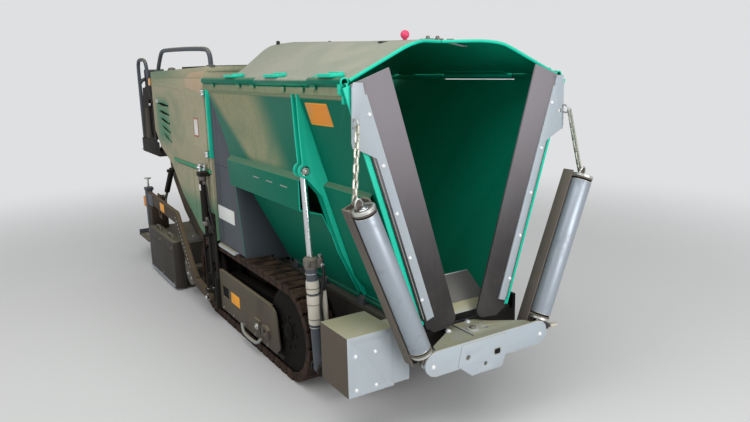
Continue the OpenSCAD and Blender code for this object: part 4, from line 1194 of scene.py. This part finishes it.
class PAVER_OT_column_trim(bpy.types.Operator):
    """Foot plates, seams, fronts, bolts and blank plates of the side columns"""

    bl_idname = "paver.column_trim"
    bl_label = "Column trim"

    def execute(self, context):
        corners = round_corners(1.745, 2.075, 0.800, 0.900, 0.006)
        both([side_plate(corners, 0.6004, 0.6016, 0.0004)], "column_labels", "chassis",
             "white_label")
        foot = [(0.470, 1.700), (0.622, 1.740), (0.626, 1.760), (0.626, 2.060), (0.600, 2.090),
                (0.470, 2.090)]
        both([flat_plate(foot, 0.590, 0.6105, 0.004)], "column_feet", "chassis", "pale_grey")
        both([side_plate(rectangle(1.735, 2.095, 1.1930, 1.1965), 0.5995, 0.6006, 0),
              side_plate(rectangle(2.000, 2.003, 0.660, 1.600), 0.5995, 0.6005, 0)],
             "column_seams", "chassis", "black_and_recess_shade")

        def wall(x, z):
            return at(x, 1.588 + (z - 0.560) * 0.140 / 0.702 - 0.0085, z)

        face = [wall(0.268, 0.563), wall(0.599, 0.563), wall(0.599, 1.256), wall(0.516, 1.256)]
        both([plate(face, (0, -0.0025, 0), 0.0008)], "column_fronts", "chassis", "slate_grey")
        spots = [(at(0.600, d, z), LEFT) for d, z in
                 ((2.06, 1.66), (2.06, 1.30), (2.06, 1.00), (2.06, 0.70), (1.78, 0.66),
                  (1.80, 1.12))]
        both(spread(dome(0.0075, 0.004), spots), "column_bolts", "chassis", "slate_grey")
        return {"FINISHED"}


# tracks


class PAVER_OT_track_shoes(bpy.types.Operator):
    """Track chains with pads, bolts and links, which stand for the constructed belts"""

    bl_idname = "paver.track_shoes"
    bl_label = "Track shoes"

    def execute(self, context):
        r, front, rear, axle, middle, count = 0.286, 0.925, 2.295, 0.300, 0.522, 46
        run = rear - front
        total = 2 * run + math.tau * r
        pad = block((0, 0, 0.006), (0.180, 0.0820, 0.0158), 0.0055, 2)
        open_edit(pad, "FACE")
        bpy.ops.mesh.select_all(action="DESELECT")
        bpy.ops.object.mode_set(mode="OBJECT")
        top = max(pad.data.polygons, key=lambda face: face.center.z * 10 + face.area)
        top.select = True
        bpy.ops.object.mode_set(mode="EDIT")
        bpy.ops.mesh.inset(thickness=0.010, depth=-0.0015)
        close_edit()
        cap = [(0, 0.0125), (0.006, 0.0120), (0.009, 0.009), (0.009, 0), (0, 0)]
        heads = [turned(cap, 8, (x, 0, 0)) for x in (-0.055, 0.055)]
        links = [block((x, 0, -0.011), (0.020, 0.094, 0.021), 0.003, 1) for x in (-0.045, 0.045)]
        skirts = [block((x, 0, -0.021), (0.013, 0.090, 0.044), 0.005, 1) for x in (-0.080, 0.080)]
        shoe = joined([pad, *heads, *links, *skirts])
        shoes = []
        for i in range(count):
            p = i * total / count
            if p < run:
                place, out = (front + p, axle - r), (0, -1)
            elif p < run + math.pi * r:
                a = (p - run) / r - math.pi / 2
                out = (math.cos(a), math.sin(a))
                place = (rear + r * out[0], axle + r * out[1])
            elif p < 2 * run + math.pi * r:
                place, out = (rear - (p - run - math.pi * r), axle + r), (0, 1)
            else:
                a = (p - 2 * run - math.pi * r) / r + math.pi / 2
                out = (math.cos(a), math.sin(a))
                place = (front + r * out[0], axle + r * out[1])
            turn = Matrix(((1, 0, 0), (0, out[1], out[0]), (0, -out[0], out[1]))).to_4x4()
            shoes.append(twin(shoe, Matrix.Translation(at(middle, *place)) @ turn))
        bpy.data.objects.remove(shoe)

        def loop(radius):
            return [(c + radius * math.cos(a), axle + radius * math.sin(a))
                    for c, start in ((rear, -90), (front, 90))
                    for a in [math.radians(start + 10 * i) for i in range(19)]]

        band = plate([at(0.452, d, z) for d, z in loop(0.2760)], (0.140, 0, 0), 0,
                     holes=[side_plate(loop(0.2655), 0.440, 0.605, 0)])
        shoes.append(band)
        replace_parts(both(shoes, "track_chains", "chassis", "shoe_steel", 35)[0], "tracks")
        pins = [(at(0.6285, d, 0.126), LEFT) for d in (1.195, 1.400, 1.605, 1.810, 2.015)]
        both(spread(bolt(0.011, 0.008), pins), "guard_bolts", "chassis", "dull_steel")
        both([side_plate(round_corners(1.680, 1.850, 0.218, 0.300, 0.006), 0.6284, 0.6296, 0.0004)],
             "guard_labels", "chassis", "yellow_label")
        disc = [(0, 0.003), (0.021, 0.003), (0.022, 0), (0, 0)]
        bracket = spread(bolt(0.0125, 0.010), [(at(0.6425, 1.345, 0.205), LEFT)])
        bracket.append(turned(disc, 24, at(0.6420, 1.345, 0.205), LEFT))
        both(bracket, "bracket_bolts", "chassis", "zinc")
        hook = [at(0.636, 1.640, 0.130), at(0.644, 1.610, 0.086), at(0.646, 1.570, 0.076),
                at(0.646, 1.450, 0.076), at(0.646, 1.380, 0.080), at(0.644, 1.335, 0.090),
                at(0.636, 1.300, 0.130)]
        both([hose(hook, 0.011)], "tie_down_hooks", "chassis", "scuff_grey")
        # Black insets in the guards' pockets: painted shade.
        both([side_plate(round_corners(1.912, 2.028, 0.220, 0.296, 0.004), 0.613, 0.617, 0.0005)],
             "guard_pockets", "chassis", "black_and_recess_shade")
        rail = [side_plate(rectangle(0.960, 2.230, 0.105, 0.125), 0.6135, 0.6270, 0.002)]
        both(rail, "guard_rails", "chassis", "frame_black")
        spokes, hubs = [], []
        for d in (front, rear):
            hub = [(0, 0.020), (0.028, 0.019), (0.036, 0.012), (0.050, 0.008), (0.056, 0), (0, 0)]
            hubs.append(turned(hub, 28, at(0.5985, d, axle), LEFT))
            spots = [(at(0.5925, d + 0.095 * math.cos(a), axle + 0.095 * math.sin(a)), LEFT)
                     for a in [math.tau * i / 8 for i in range(8)]]
            spokes += spread(bolt(0.010, 0.008), spots)
        # Hubs and their bolts in near-black: painted shade.
        both(hubs + spokes, "wheel_hubs", "chassis", "shade_black")
        return {"FINISHED"}


# engine body


class PAVER_OT_housing_trim(bpy.types.Operator):
    """Seams, ledges, hinge rings, latches, louvres, patches and plates of the engine body"""

    bl_idname = "paver.housing_trim"
    bl_label = "Body trim"

    def execute(self, context):
        ledge = [(2.120, 1.118), (3.050, 1.118), (3.090, 1.140), (3.050, 1.146), (2.120, 1.146)]
        both(side_plate(ledge, 0.6175, 0.6280, 0.002), "side_ledges", "chassis", "leaf_green")
        both([side_plate(rectangle(2.120, 2.980, 1.110, 1.117), 0.6176, 0.6186, 0),
              side_plate(rectangle(2.560, 2.564, 0.700, 1.110), 0.6176, 0.6184, 0)],
             "side_seams", "chassis", "black_and_recess_shade")
        # Front edges of the body in the bright green: painted highlight.
        both([side_plate(rectangle(2.100, 2.130, 1.235, 1.740), 0.6178, 0.6215, 0.001),
              slab(0.560, 0.6215, 2.099, 2.104, 1.235, 1.740, 0.001)], "front_edges", "chassis",
             "bright_green")
        base = round_corners(3.440, 3.520, 1.588, 1.622, 0.008)
        latch = [side_plate(base, 0.6242, 0.6275, 0.001),
                 bar(at(0.6290, 3.452, 1.605), at(0.6290, 3.508, 1.605), 0.004, 12)]
        both(latch, "door_latches", "door", "zinc")
        both([side_plate(round_corners(2.330, 2.440, 1.370, 1.512, 0.004), 0.6242, 0.6250, 0)],
             "door_label_rims", "door", "red_rim")
        both([side_plate(round_corners(2.342, 2.428, 1.382, 1.500, 0.003), 0.6249, 0.6254, 0)],
             "door_labels", "door", "white_label")
        patch = [(2.166, 1.690), (2.360, 1.712), (2.600, 1.732), (2.640, 1.770), (2.590, 1.797),
                 (2.166, 1.797)]
        both(side_plate(patch, 0.6243, 0.6256, 0.0004), "door_patches", "door", "beige_patch")
        patch = [(2.112, 1.803), (2.580, 1.803), (2.440, 1.842), (2.112, 1.850)]
        both(side_plate(patch, 0.6181, 0.6194, 0.0004), "body_patches", "chassis", "beige_patch")
        crease = ((3.490, 1.742), (3.000, 1.734), (2.695, 1.713), (2.509, 1.653), (2.398, 1.566),
                  (2.368, 1.465))
        both(hose([at(0.6235, d, z) for d, z in crease], 0.0035, 4), "door_creases", "door",
             "body_green")
        foot = [(3.440, 1.120), (2.900, 1.100), (2.490, 0.760), (2.300, 0.750), (2.300, 0.520),
                (2.520, 0.513), (2.824, 0.527), (3.094, 0.677), (3.360, 0.911), (3.430, 1.020)]
        both([side_plate(foot, 0.556, 0.568, 0.002)], "rear_frames", "chassis", "arm_brown")
        rim = [(0.0150, 0), (0.0165, 0.002), (0.0165, 0.009), (0.0150, 0.011), (0.0145, 0.006)]
        rings = [turned(rim, 20, at(0.633, 2.140, z)) for z in (1.242, 1.268, 1.682, 1.708)]
        both(rings, "hinge_rings", "door", "chrome")
        leaves = []
        for i in range(5):
            a, b = (3.480 - i * 0.026, 1.585 - i * 0.062), (3.125 - i * 0.004, 1.570 - i * 0.076)
            n = Vector((b[1] - a[1], a[0] - b[0])).normalized()
            middle = (a[0] * 0.6 + b[0] * 0.4, a[1] * 0.6 + b[1] * 0.4)
            rim = [a, (middle[0] + n.x * 0.017, middle[1] + n.y * 0.017),
                   (b[0] + n.x * 0.009, b[1] + n.y * 0.009)]
            outer = [(d + n.x * 0.006, z + n.y * 0.006) for d, z in rim]
            leaves.append(side_plate(rim + outer[::-1], 0.6236, 0.6290, 0.001))
        both(leaves, "louvre_hoods", "door", "leaf_green")
        # Black plate behind the louvres: painted shade in their openings.
        back = [(3.080, 1.250), (3.500, 1.290), (3.500, 1.620), (3.080, 1.620)]
        both(side_plate(back, 0.6120, 0.6135, 0), "louvre_backs", "door", "black_and_recess_shade")
        rear = 3.655
        seams = [slab(-0.560, 0.560, rear + 0.0042, rear + 0.0052, z, z + 0.004, 0)
                 for z in (1.40, 1.78)]
        done(seams, "rear_seams", "chassis", "black_and_recess_shade")
        vents = [slab(-0.300, 0.300, rear + 0.001, rear + 0.008, z, z + 0.008, 0.001)
                 for z in [1.795 + i * 0.010 for i in range(4)]]
        done(vents, "rear_vents", "chassis", "frame_black")
        stack = turned([(0.026, 0), (0.026, 0.090), (0.030, 0.094), (0.030, 0.100), (0.022, 0.100),
                        (0.022, 0.012), (0, 0.012), (0, 0)], 28, at(0.480, 3.420, 1.864))
        cap = turned([(0, 0.026), (0.020, 0.024), (0.032, 0.016), (0.034, 0), (0, 0)], 28,
                     at(-0.480, 3.450, 1.864))
        done([stack, cap], "exhaust_and_cap", "chassis", "dull_steel")
        strip = [slab(-0.600, 0.600, 2.101, 2.106, 1.845, 1.866, 0.001),
                 slab(-0.610, 0.610, 2.106, 2.118, 1.880, 1.8835, 0.001)]
        done(strip, "bonnet_lip", "chassis", "body_green")
        return {"FINISHED"}


# operator station


def cushion(x0, x1, d0, d1, z0, z1, swell, name, body):
    """A seat pad: a rounded block that is blown up by a short cloth run."""
    piece = block(at((x0 + x1) / 2, (d0 + d1) / 2, (z0 + z1) / 2), (x1 - x0, d1 - d0, z1 - z0),
                  0.014, 3)
    modify(piece, "REMESH", mode="VOXEL", voxel_size=0.0055)
    rest = [v.co.copy() for v in piece.data.vertices]
    only(piece)
    cloth = piece.modifiers.new("cloth", "CLOTH")
    cloth.settings.quality = 5
    cloth.settings.use_pressure = True
    cloth.settings.uniform_pressure_force = 4
    cloth.settings.effector_weights.gravity = 0
    cloth.settings.tension_stiffness = 18
    scene = bpy.context.scene
    for step in range(1, 21):
        scene.frame_set(step)
    bpy.ops.object.modifier_apply(modifier="cloth")
    scene.frame_set(1)
    for v, home in zip(piece.data.vertices, rest):
        way = v.co - home
        if way.length > swell:
            v.co = home + way * (swell / way.length)
    modify(piece, "SUBSURF", levels=1, render_levels=1)
    piece = done(piece, name, body, "seat_vinyl", 60)
    return piece


class PAVER_OT_seats(bpy.types.Operator):
    """Padded seats with pedestals, arm rests and piping, which stand for the constructed ones"""

    bl_idname = "paver.seats"
    bl_label = "Seats"

    def execute(self, context):
        made = [cushion(0.342, 0.548, 3.988, 4.205, 1.520, 1.575, 0.010, "seat_pad_left",
                        "seat_left"),
                cushion(0.342, 0.548, 4.200, 4.226, 1.580, 1.892, 0.012, "seat_back_left",
                        "seat_left")]
        for pad in made:
            other = twin(pad, MIRROR)
            for key in list(other.keys()):
                if key.startswith("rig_"):
                    del other[key]
            other = done(other, pad.name.replace("left", "right"), "seat_right", "seat_vinyl", 60)
        tray = [slab(0.336, 0.554, 3.984, 4.216, 1.500, 1.520, 0.006),
                slab(0.350, 0.540, 4.222, 4.232, 1.500, 1.880, 0.005)]
        column = turned([(0.070, 0), (0.070, 0.010), (0.040, 0.018), (0.027, 0.040), (0.027, 0.300),
                         (0.034, 0.304), (0.034, 0.330), (0.022, 0.334), (0.022, 0.395), (0, 0.395),
                         (0, 0)], 28, at(0.445, 4.100, 1.1005))
        arms = [hose([at(x, 4.215, 1.60), at(x, 4.205, 1.70), at(x, 4.15, 1.725),
                      at(x, 4.02, 1.725)], 0.011) for x in (0.334, 0.556)]
        frames = both(tray + [column] + arms, "seat_frames", "seat", "frame_black")
        for piece, side in zip(frames, ("left", "right")):
            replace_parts(piece, "seat_" + side)
        edge = [at(x, d, 1.549) for x, d in round_corners(0.333, 0.557, 3.980, 4.212, 0.030)]
        both(hose(edge + edge[:1], 0.0028), "seat_piping", "seat", "hose_rubber")
        return {"FINISHED"}


class PAVER_OT_station(bpy.types.Operator):
    """Console levers, dials and buttons, lamps, treads, rails and guards of the station"""

    bl_idname = "paver.station"
    bl_label = "Operator station"

    def execute(self, context):
        slope = Vector((0, 0.080, 0.200)).normalized()

        def on_console(x, part):
            return at(x, 3.715 + 0.200 * part, 1.7205 - 0.080 * part)

        gaiter = [(0.022, 0), (0.020, 0.008), (0.022, 0.012), (0.016, 0.020), (0.018, 0.024),
                  (0.008, 0.034), (0, 0.034), (0, 0)]
        knob = [(0, 0.036), (0.009, 0.034), (0.014, 0.024), (0.013, 0.012), (0.007, 0.002), (0, 0)]
        dial = [(0.030, 0), (0.034, 0.003), (0.034, 0.010), (0.030, 0.012), (0.029, 0.006),
                (0, 0.006), (0, 0)]
        face = [(0, 0.009), (0.028, 0.008), (0.029, 0.006), (0, 0.006)]
        button = [(0, 0.012), (0.008, 0.011), (0.010, 0.008), (0.010, 0.003), (0.013, 0.002),
                  (0.013, 0), (0, 0)]
        gaiters, sticks, knobs, dials, glass = [], [], [], [], []
        for x in (-0.40, -0.14, 0.14, 0.40):
            foot = on_console(x, 0.30)
            gaiters.append(turned(gaiter, 20, foot, slope))
            sticks.append(bar(foot + slope * 0.025, foot + slope * 0.090, 0.005, 12))
            knobs.append(turned(knob, 20, foot + slope * 0.086, slope))
        for x in (-0.27, 0, 0.27):
            spot = on_console(x, 0.45)
            dials.append(turned(dial, 32, spot, slope))
            glass.append(turned(face, 28, spot, slope))
        buttons = [turned(button, 16, on_console(x, 0.80), slope)
                   for x in (-0.48, -0.33, -0.21, -0.06, 0.06, 0.21, 0.33, 0.48)]
        done(gaiters + knobs, "lever_gaiters", "chassis", "hose_rubber")
        done(sticks, "lever_sticks", "chassis", "chrome")
        done(dials, "console_dials", "chassis", "black_and_recess_shade")
        done(glass, "dial_faces", "chassis", "white_label")
        done(buttons[::2], "console_buttons", "chassis", "yellow_label")
        done(buttons[1::2], "console_switches", "chassis", "dull_steel")
        done([slab(-0.520, 0.520, 3.7165, 3.7190, 1.690, 1.700, 0)], "console_seam", "chassis",
             "black_and_recess_shade")
        both([side_plate(round_corners(3.735, 3.800, 1.735, 1.798, 0.008), 0.5995, 0.6110, 0.003)],
             "side_lamps", "chassis", "amber_lens")
        both([side_plate(round_corners(3.728, 3.807, 1.728, 1.805, 0.010), 0.5995, 0.6030, 0.001)],
             "side_lamp_bases", "chassis", "hose_rubber")
        both([bar(at(0.560, 4.302, 1.160), at(0.560, 4.314, 1.160), 0.030, 28, 0.004)],
             "rear_lamps", "chassis", "amber_lens")
        both([turned([(0, 0.012), (0.010, 0.011), (0.013, 0.004), (0.013, 0), (0, 0)], 16,
                     at(0.6005, 3.843, 1.560), LEFT)], "guard_knobs", "chassis", "white_zinc")
        both([side_plate(rectangle(3.765, 3.920, 1.235, 1.660), 0.572, 0.580, 0.002)],
             "guard_linings", "chassis", "maroon_lining")
        treads = [(at(-0.50 + i * 0.083, 3.74 + j * 0.115, 1.1000), UP) for i in range(13)
                  for j in range(5)]
        master = turned([(0, 0.0035), (0.010, 0.0032), (0.016, 0.0012), (0.017, 0), (0, 0)], 10)
        done(spread(master, treads), "floor_treads", "chassis", "slate_grey")
        top = [(3.602, 1.857), (3.585, 1.885), (3.545, 1.930), (3.480, 1.985), (3.440, 2.015),
               (3.380, 2.029), (3.300, 2.031), (2.900, 2.026), (2.500, 2.016), (2.250, 2.006),
               (2.185, 1.998), (2.145, 1.970), (2.132, 1.930), (2.130, 1.900), (2.130, 1.880)]
        arch = [(4.270, 1.100), (4.270, 1.500), (4.270, 1.860), (4.266, 1.920), (4.235, 1.962),
                (4.180, 1.972), (4.060, 1.972), (3.990, 1.960), (3.950, 1.920), (3.932, 1.860),
                (3.920, 1.790), (3.905, 1.720)]
        far_arch = [at(0.580, d, z - (0.170 if z > 1.5 else 0)) for d, z in arch[:-1]]
        tubes = [hose([at(-0.560, d, z) for d, z in top], 0.017, 5),
                 hose([at(-0.580, d, z) for d, z in arch], 0.017, 5),
                 hose(far_arch, 0.017, 5)]
        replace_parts(done(tubes, "hand_rail_tubes", "chassis", "slate_grey", 60), "hand_rails")
        panel = [(3.845, 1.102), (4.250, 1.102), (4.250, 1.360), (4.160, 1.600), (4.130, 1.710),
                 (3.880, 1.710)]
        both([side_plate(panel, 0.583, 0.590, 0.002)], "guard_panels", "chassis", "frame_black")
        window = [(3.990, 1.220), (4.150, 1.220), (4.090, 1.520), (4.020, 1.520)]
        both(side_plate(window, 0.5898, 0.5912, 0.0005), "guard_windows", "chassis",
             "maroon_lining")
        rear = [(-0.580, 1.740), (-0.560, 1.790), (-0.500, 1.800), (0, 1.800), (0.500, 1.800),
                (0.560, 1.790), (0.580, 1.740)]
        low_bar = [bar(at(-0.580, 4.270, 1.440), at(0.580, 4.270, 1.440), 0.013)]
        high_bar = [hose([at(x, 4.270, z) for x, z in rear], 0.017, 5)]
        done(high_bar + low_bar, "rear_rails", "chassis", "slate_grey", 60)
        collar = [(0.018, -0.004), (0.034, -0.004), (0.034, 0.004), (0.020, 0.008), (0.018, 0.006)]
        feet = ((-0.560, 2.130, 1.885), (-0.560, 3.600, 1.862), (0.580, 4.270, 1.108),
                (-0.580, 4.270, 1.108))
        clamps = [turned(collar, 24, at(*foot)) for foot in feet]
        done(clamps, "rail_collars", "chassis", "slate_grey")
        foot = on_console(-0.02, 0.2)
        hub = foot + slope * 0.095
        wheel = [ring(0.060, 0.008, hub, slope, 32), bar(foot, hub, 0.012, 16)]
        for a in (0.5, 2.6, 4.7):
            way = Vector((0.058 * math.cos(a), 0.054 * math.sin(a), -0.0216 * math.sin(a)))
            wheel.append(bar(hub + way, hub, 0.005, 10))
        done(wheel, "steering_wheel", "chassis", "hose_rubber")
        step = [slab(-0.180, 0.180, 4.300, 4.330, 1.000, 1.012, 0.003),
                slab(-0.180, -0.168, 4.298, 4.330, 0.960, 1.012, 0.002),
                slab(0.168, 0.180, 4.298, 4.330, 0.960, 1.012, 0.002)]
        done(step, "rear_step", "chassis", "frame_black")
        return {"FINISHED"}


# tow arms and screed


class PAVER_OT_levelling_trim(bpy.types.Operator):
    """Clevises, gland nuts, pins and hoses of the levelling cylinders"""

    bl_idname = "paver.levelling_trim"
    bl_label = "Levelling trim"

    def execute(self, context):
        x, d = 0.665, 2.195
        both([slab(x - 0.022, x - 0.012, d - 0.018, d + 0.018, 1.128, 1.190, 0.003),
              slab(x + 0.012, x + 0.022, d - 0.018, d + 0.018, 1.128, 1.190, 0.003),
              slab(x - 0.022, x + 0.022, d - 0.018, d + 0.018, 1.182, 1.192, 0.003),
              bar(at(x - 0.030, d, 1.165), at(x + 0.034, d, 1.165), 0.009, 20)], "level_clevis",
             "chassis", "chrome")
        barrels = [turned([(0.0275, 0), (0.0300, 0.004), (0.0300, 0.030), (0.0275, 0.034)], 28,
                          at(x, d, z)) for z in (0.728, 1.070)]
        ports = [slab(x - 0.010, x + 0.010, d - 0.040, d - 0.022, z, z + 0.026, 0.003)
                 for z in (0.770, 1.040)]
        both(barrels + ports, "level_glands", "chassis", "dull_steel")
        both([slab(x + 0.0200, x + 0.0265, d - 0.0155, d + 0.0155, 0.995, 1.040, 0.002)],
             "level_tags", "chassis", "white_label")
        high = ((0, 0.042, 1.053), (0.004, 0.060, 1.050), (0.008, 0.066, 1.0), (0.010, 0.062, 0.90),
                (0.020, 0.070, 0.80), (0.030, 0.080, 0.72))
        low = ((0, 0.042, 0.783), (0.002, 0.056, 0.780), (0.006, 0.066, 0.74), (0.026, 0.074, 0.68))
        lines = [hose([at(x - inward, d - ahead, z) for inward, ahead, z in line], 0.006)
                 for line in (high, low)]
        both(lines, "level_hoses", "chassis", "hose_rubber")
        both([turned([(0, 0.012), (0.010, 0.011), (0.016, 0.006), (0.0165, 0), (0, 0)], 24,
                     at(0.705, d, 0.170), LEFT),
              bar(at(0.643, d, 0.226), at(0.643, d, 0.240), 0.0115, 6),
              bar(at(0.687, d, 0.226), at(0.687, d, 0.240), 0.0115, 6)],
             "level_nuts", "tow_blocks", "zinc")
        both([turned([(0.017, 0), (0.024, 0), (0.024, 0.003), (0.017, 0.003)], 24,
                     at(0.6905, d, 0.170), LEFT)], "level_washers", "tow_blocks", "chrome")
        return {"FINISHED"}


class PAVER_OT_screed_trim(bpy.types.Operator):
    """Blank plates, studs, handles and covers of the tow arms and the screed"""

    bl_idname = "paver.screed_trim"
    bl_label = "Arm and screed trim"

    def execute(self, context):
        tag = [(3.315, 0.625), (3.455, 0.632), (3.455, 0.706), (3.315, 0.700)]
        both(side_plate(tag, 0.6903, 0.6914, 0.0004), "arm_labels", "screed", "yellow_label")
        low, high = Vector((2.960, 0.650)), Vector((2.640, 0.300))
        spots = [low.lerp(high, i / 13) for i in range(14)]
        both(spread(dome(0.0075, 0.004), [(at(0.6902, p.x, p.y), LEFT) for p in spots]),
             "arm_studs", "screed", "scuff_grey")
        both([side_plate(round_corners(3.700, 3.880, 0.620, 0.730, 0.010), 0.6905, 0.6960, 0.002)],
             "arm_end_plates", "screed", "slate_grey")
        both([slab(0.640, 0.700, 3.900, 3.960, 0.400, 0.760, 0.006),
              slab(0.630, 0.705, 3.895, 3.965, 0.745, 0.775, 0.004)],
             "arm_masts", "screed", "slate_grey")
        both([bar(at(0.670, 3.930, 0.775), at(0.670, 3.930, 0.860), 0.010, 16),
              ring(0.030, 0.0045, at(0.670, 3.930, 0.860), UP, 24),
              bar(at(0.640, 3.930, 0.860), at(0.700, 3.930, 0.860), 0.004, 10)], "mast_cranks",
             "screed", "zinc")
        both([slab(0.662, 0.698, 3.985, 4.060, 0.575, 0.672, 0.004)], "arm_tags", "screed",
             "orange_label")
        grips = []
        for d in (3.10, 3.50):
            bow = ((0, 0.438), (0, 0.466), (0.07, 0.472), (0.14, 0.466), (0.14, 0.438))
            grips.append(hose([at(0.690, d + back, z) for back, z in bow], 0.006))
        both(grips, "end_box_handles", "screed_ext", "dull_steel")
        lines = [side_plate(rectangle(3.020, 3.800, z, z + 0.004), 0.7246, 0.7254, 0)
                 for z in (0.120, 0.330)]
        lines += [side_plate(rectangle(d, d + 0.004, 0.060, 0.400), 0.7246, 0.7254, 0)
                  for d in (3.240, 3.560)]
        both(lines, "end_box_seams", "screed_ext", "black_and_recess_shade")
        heads = [(at(0.725, d, z), LEFT) for d in (3.03, 3.40, 3.79) for z in (0.06, 0.375)]
        both(spread(bolt(0.009, 0.007), heads), "end_box_bolts", "screed_ext", "dull_steel")
        sole = [(3.030, 0.020), (3.800, 0.020), (3.830, 0.034), (3.830, 0.046), (3.010, 0.046)]
        both(side_plate(sole, 0.7245, 0.7300, 0.002), "end_box_shoes", "screed_ext", "roller_steel")
        lids, grips = [], []
        for middle in (-0.46, -0.16, 0.16, 0.46):
            lids.append(slab(middle - 0.110, middle + 0.110, 3.045, 3.275, 0.4035, 0.4085, 0.003))
            bow = ((-0.04, 0.4080), (-0.04, 0.4280), (0, 0.4330), (0.04, 0.4280), (0.04, 0.4080))
            grips.append(hose([at(middle + x, 3.16, z) for x, z in bow], 0.004))
        done(lids, "heater_lids", "screed", "slate_grey")
        done(grips, "lid_handles", "screed", "zinc")
        teeth = [slab(x, x + 0.030, 4.175, 4.530, 0.1920, 0.1960, 0.0015)
                 for x in [-0.62 + i * 0.054 for i in range(24)]]
        done(teeth, "walkway_treads", "screed", "dull_steel")
        done([slab(-0.668, 0.668, 4.536, 4.548, 0.175, 0.235, 0.003)], "walkway_lip", "screed",
             "slate_grey")
        line = ((3.330, 0.300), (3.345, 0.360), (3.500, 0.392), (3.800, 0.392), (3.930, 0.388))
        pipes = [hose([at(x, d, z) for d, z in line], 0.009) for x in (-0.30, -0.26, 0.26, 0.30)]
        done(pipes, "screed_hoses", "screed", "hose_rubber")
        return {"FINISHED"}


class PAVER_OT_augers(bpy.types.Operator):
    """Auger shafts with helical flights, which stand for the constructed discs"""

    bl_idname = "paver.augers"
    bl_label = "Augers"

    def execute(self, context):
        d, z = 2.800, 0.235
        flight = traced([(0.028, 0, 0), (0.146, 0, 0)])
        close_edit()
        modify(flight, "SCREW", axis="Z", angle=math.tau * 3.1, screw_offset=0.540, steps=84,
               render_steps=84, use_merge_vertices=False)
        modify(flight, "SOLIDIFY", thickness=0.008, offset=0.0)
        moved(flight, at(0.076, d, z), LEFT)
        shaft = [(0, 0), (0.030, 0), (0.030, 0.560), (0.040, 0.562), (0.040, 0.586), (0.136, 0.588),
                 (0.140, 0.592), (0.140, 0.597), (0.136, 0.5995), (0.030, 0.5995), (0.028, 0.598),
                 (0, 0.598)]
        pieces = [flight, turned(shaft, 32, at(0.0505, d, z), LEFT)]
        augers = both(pieces, "auger_flights", "auger", "dull_steel", 35)
        for piece, side in zip(augers, ("left", "right")):
            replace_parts(piece, "auger_" + side)
        spots = [(at(0.6500, d + 0.08 * math.cos(a), z + 0.08 * math.sin(a)), LEFT)
                 for a in (0.5, 1.76, 3.01, 4.27, 5.53)]
        both(spread(bolt(0.010, 0.007), spots), "auger_bolts", "auger", "zinc")
        return {"FINISHED"}


# panel and registration


class PaverSizes(bpy.types.PropertyGroup):
    """Sizes that a user would change"""

    edge_round: bpy.props.FloatProperty(name="Edge rounding", default=0.0016, min=0.0,
                                        unit="LENGTH", description="Radius of the painted edges")
    bolt_radius: bpy.props.FloatProperty(name="Bolt head", default=0.0095, min=0.002, unit="LENGTH",
                                         description="Radius of the common bolt heads")
    hose_radius: bpy.props.FloatProperty(name="Hose", default=0.009, min=0.002, unit="LENGTH",
                                         description="Radius of the hydraulic hoses")
    sky_strength: bpy.props.FloatProperty(name="Sky", default=0.55, min=0.0,
                                          description="Strength of the soft light from all sides")


class PaverColours(bpy.types.PropertyGroup):
    """Paint colours"""

    green: bpy.props.FloatVectorProperty(name="Hopper green", subtype="COLOR", size=3, min=0, max=1,
                                         default=rgb("036a53"), description="Paint of the hopper")
    # Brighter green of lugs and rims, also the painted highlight on edges and lit front faces.
    green_edge_highlight: bpy.props.FloatVectorProperty(name="Edge green", subtype="COLOR", size=3, min=0,
                                              max=1, default=rgb("0bc6a6"),
                                              description="Cut edges and lugs in brighter paint")
    light_grey: bpy.props.FloatVectorProperty(name="Light grey", subtype="COLOR", size=3, min=0,
                                              max=1, default=rgb("a3acb4"),
                                              description="Push bar, rollers and strips")
    dark_grey: bpy.props.FloatVectorProperty(name="Slate grey", subtype="COLOR", size=3, min=0,
                                             max=1, default=rgb("4c525a"),
                                             description="Posts, deck and screed")


STEPS = (PAVER_OT_stage, PAVER_OT_finishes, PAVER_OT_rounded, PAVER_OT_wing_trim,
         PAVER_OT_cover_trim,
         PAVER_OT_roller_trim, PAVER_OT_bar_trim, PAVER_OT_cylinder_trim, PAVER_OT_column_trim,
         PAVER_OT_track_shoes, PAVER_OT_housing_trim, PAVER_OT_seats, PAVER_OT_station,
         PAVER_OT_levelling_trim, PAVER_OT_screed_trim, PAVER_OT_augers)


class PAVER_PT_panel(bpy.types.Panel):
    """Sizes, colours and making steps of the paver"""

    bl_idname = "PAVER_PT_panel"
    bl_label = "Asphalt paver"
    bl_space_type = "VIEW_3D"
    bl_region_type = "UI"
    bl_category = "Paver"

    def draw(self, context):
        for group in (context.scene.paver_sizes, context.scene.paver_colours):
            for name in group.__annotations__:
                self.layout.prop(group, name)
        for step in STEPS:
            self.layout.operator(step.bl_idname)


CLASSES = (PaverSizes, PaverColours, *STEPS, PAVER_PT_panel)


def register():
    for kind in CLASSES:
        bpy.utils.register_class(kind)
    bpy.types.Scene.paver_sizes = bpy.props.PointerProperty(type=PaverSizes)
    bpy.types.Scene.paver_colours = bpy.props.PointerProperty(type=PaverColours)


def unregister():
    del bpy.types.Scene.paver_sizes
    del bpy.types.Scene.paver_colours
    for kind in reversed(CLASSES):
        bpy.utils.unregister_class(kind)


def main():
    register()
    for step in STEPS:
        family, name = step.bl_idname.split(".")
        getattr(getattr(bpy.ops, family), name)()


if __name__ == "__main__":
    main()
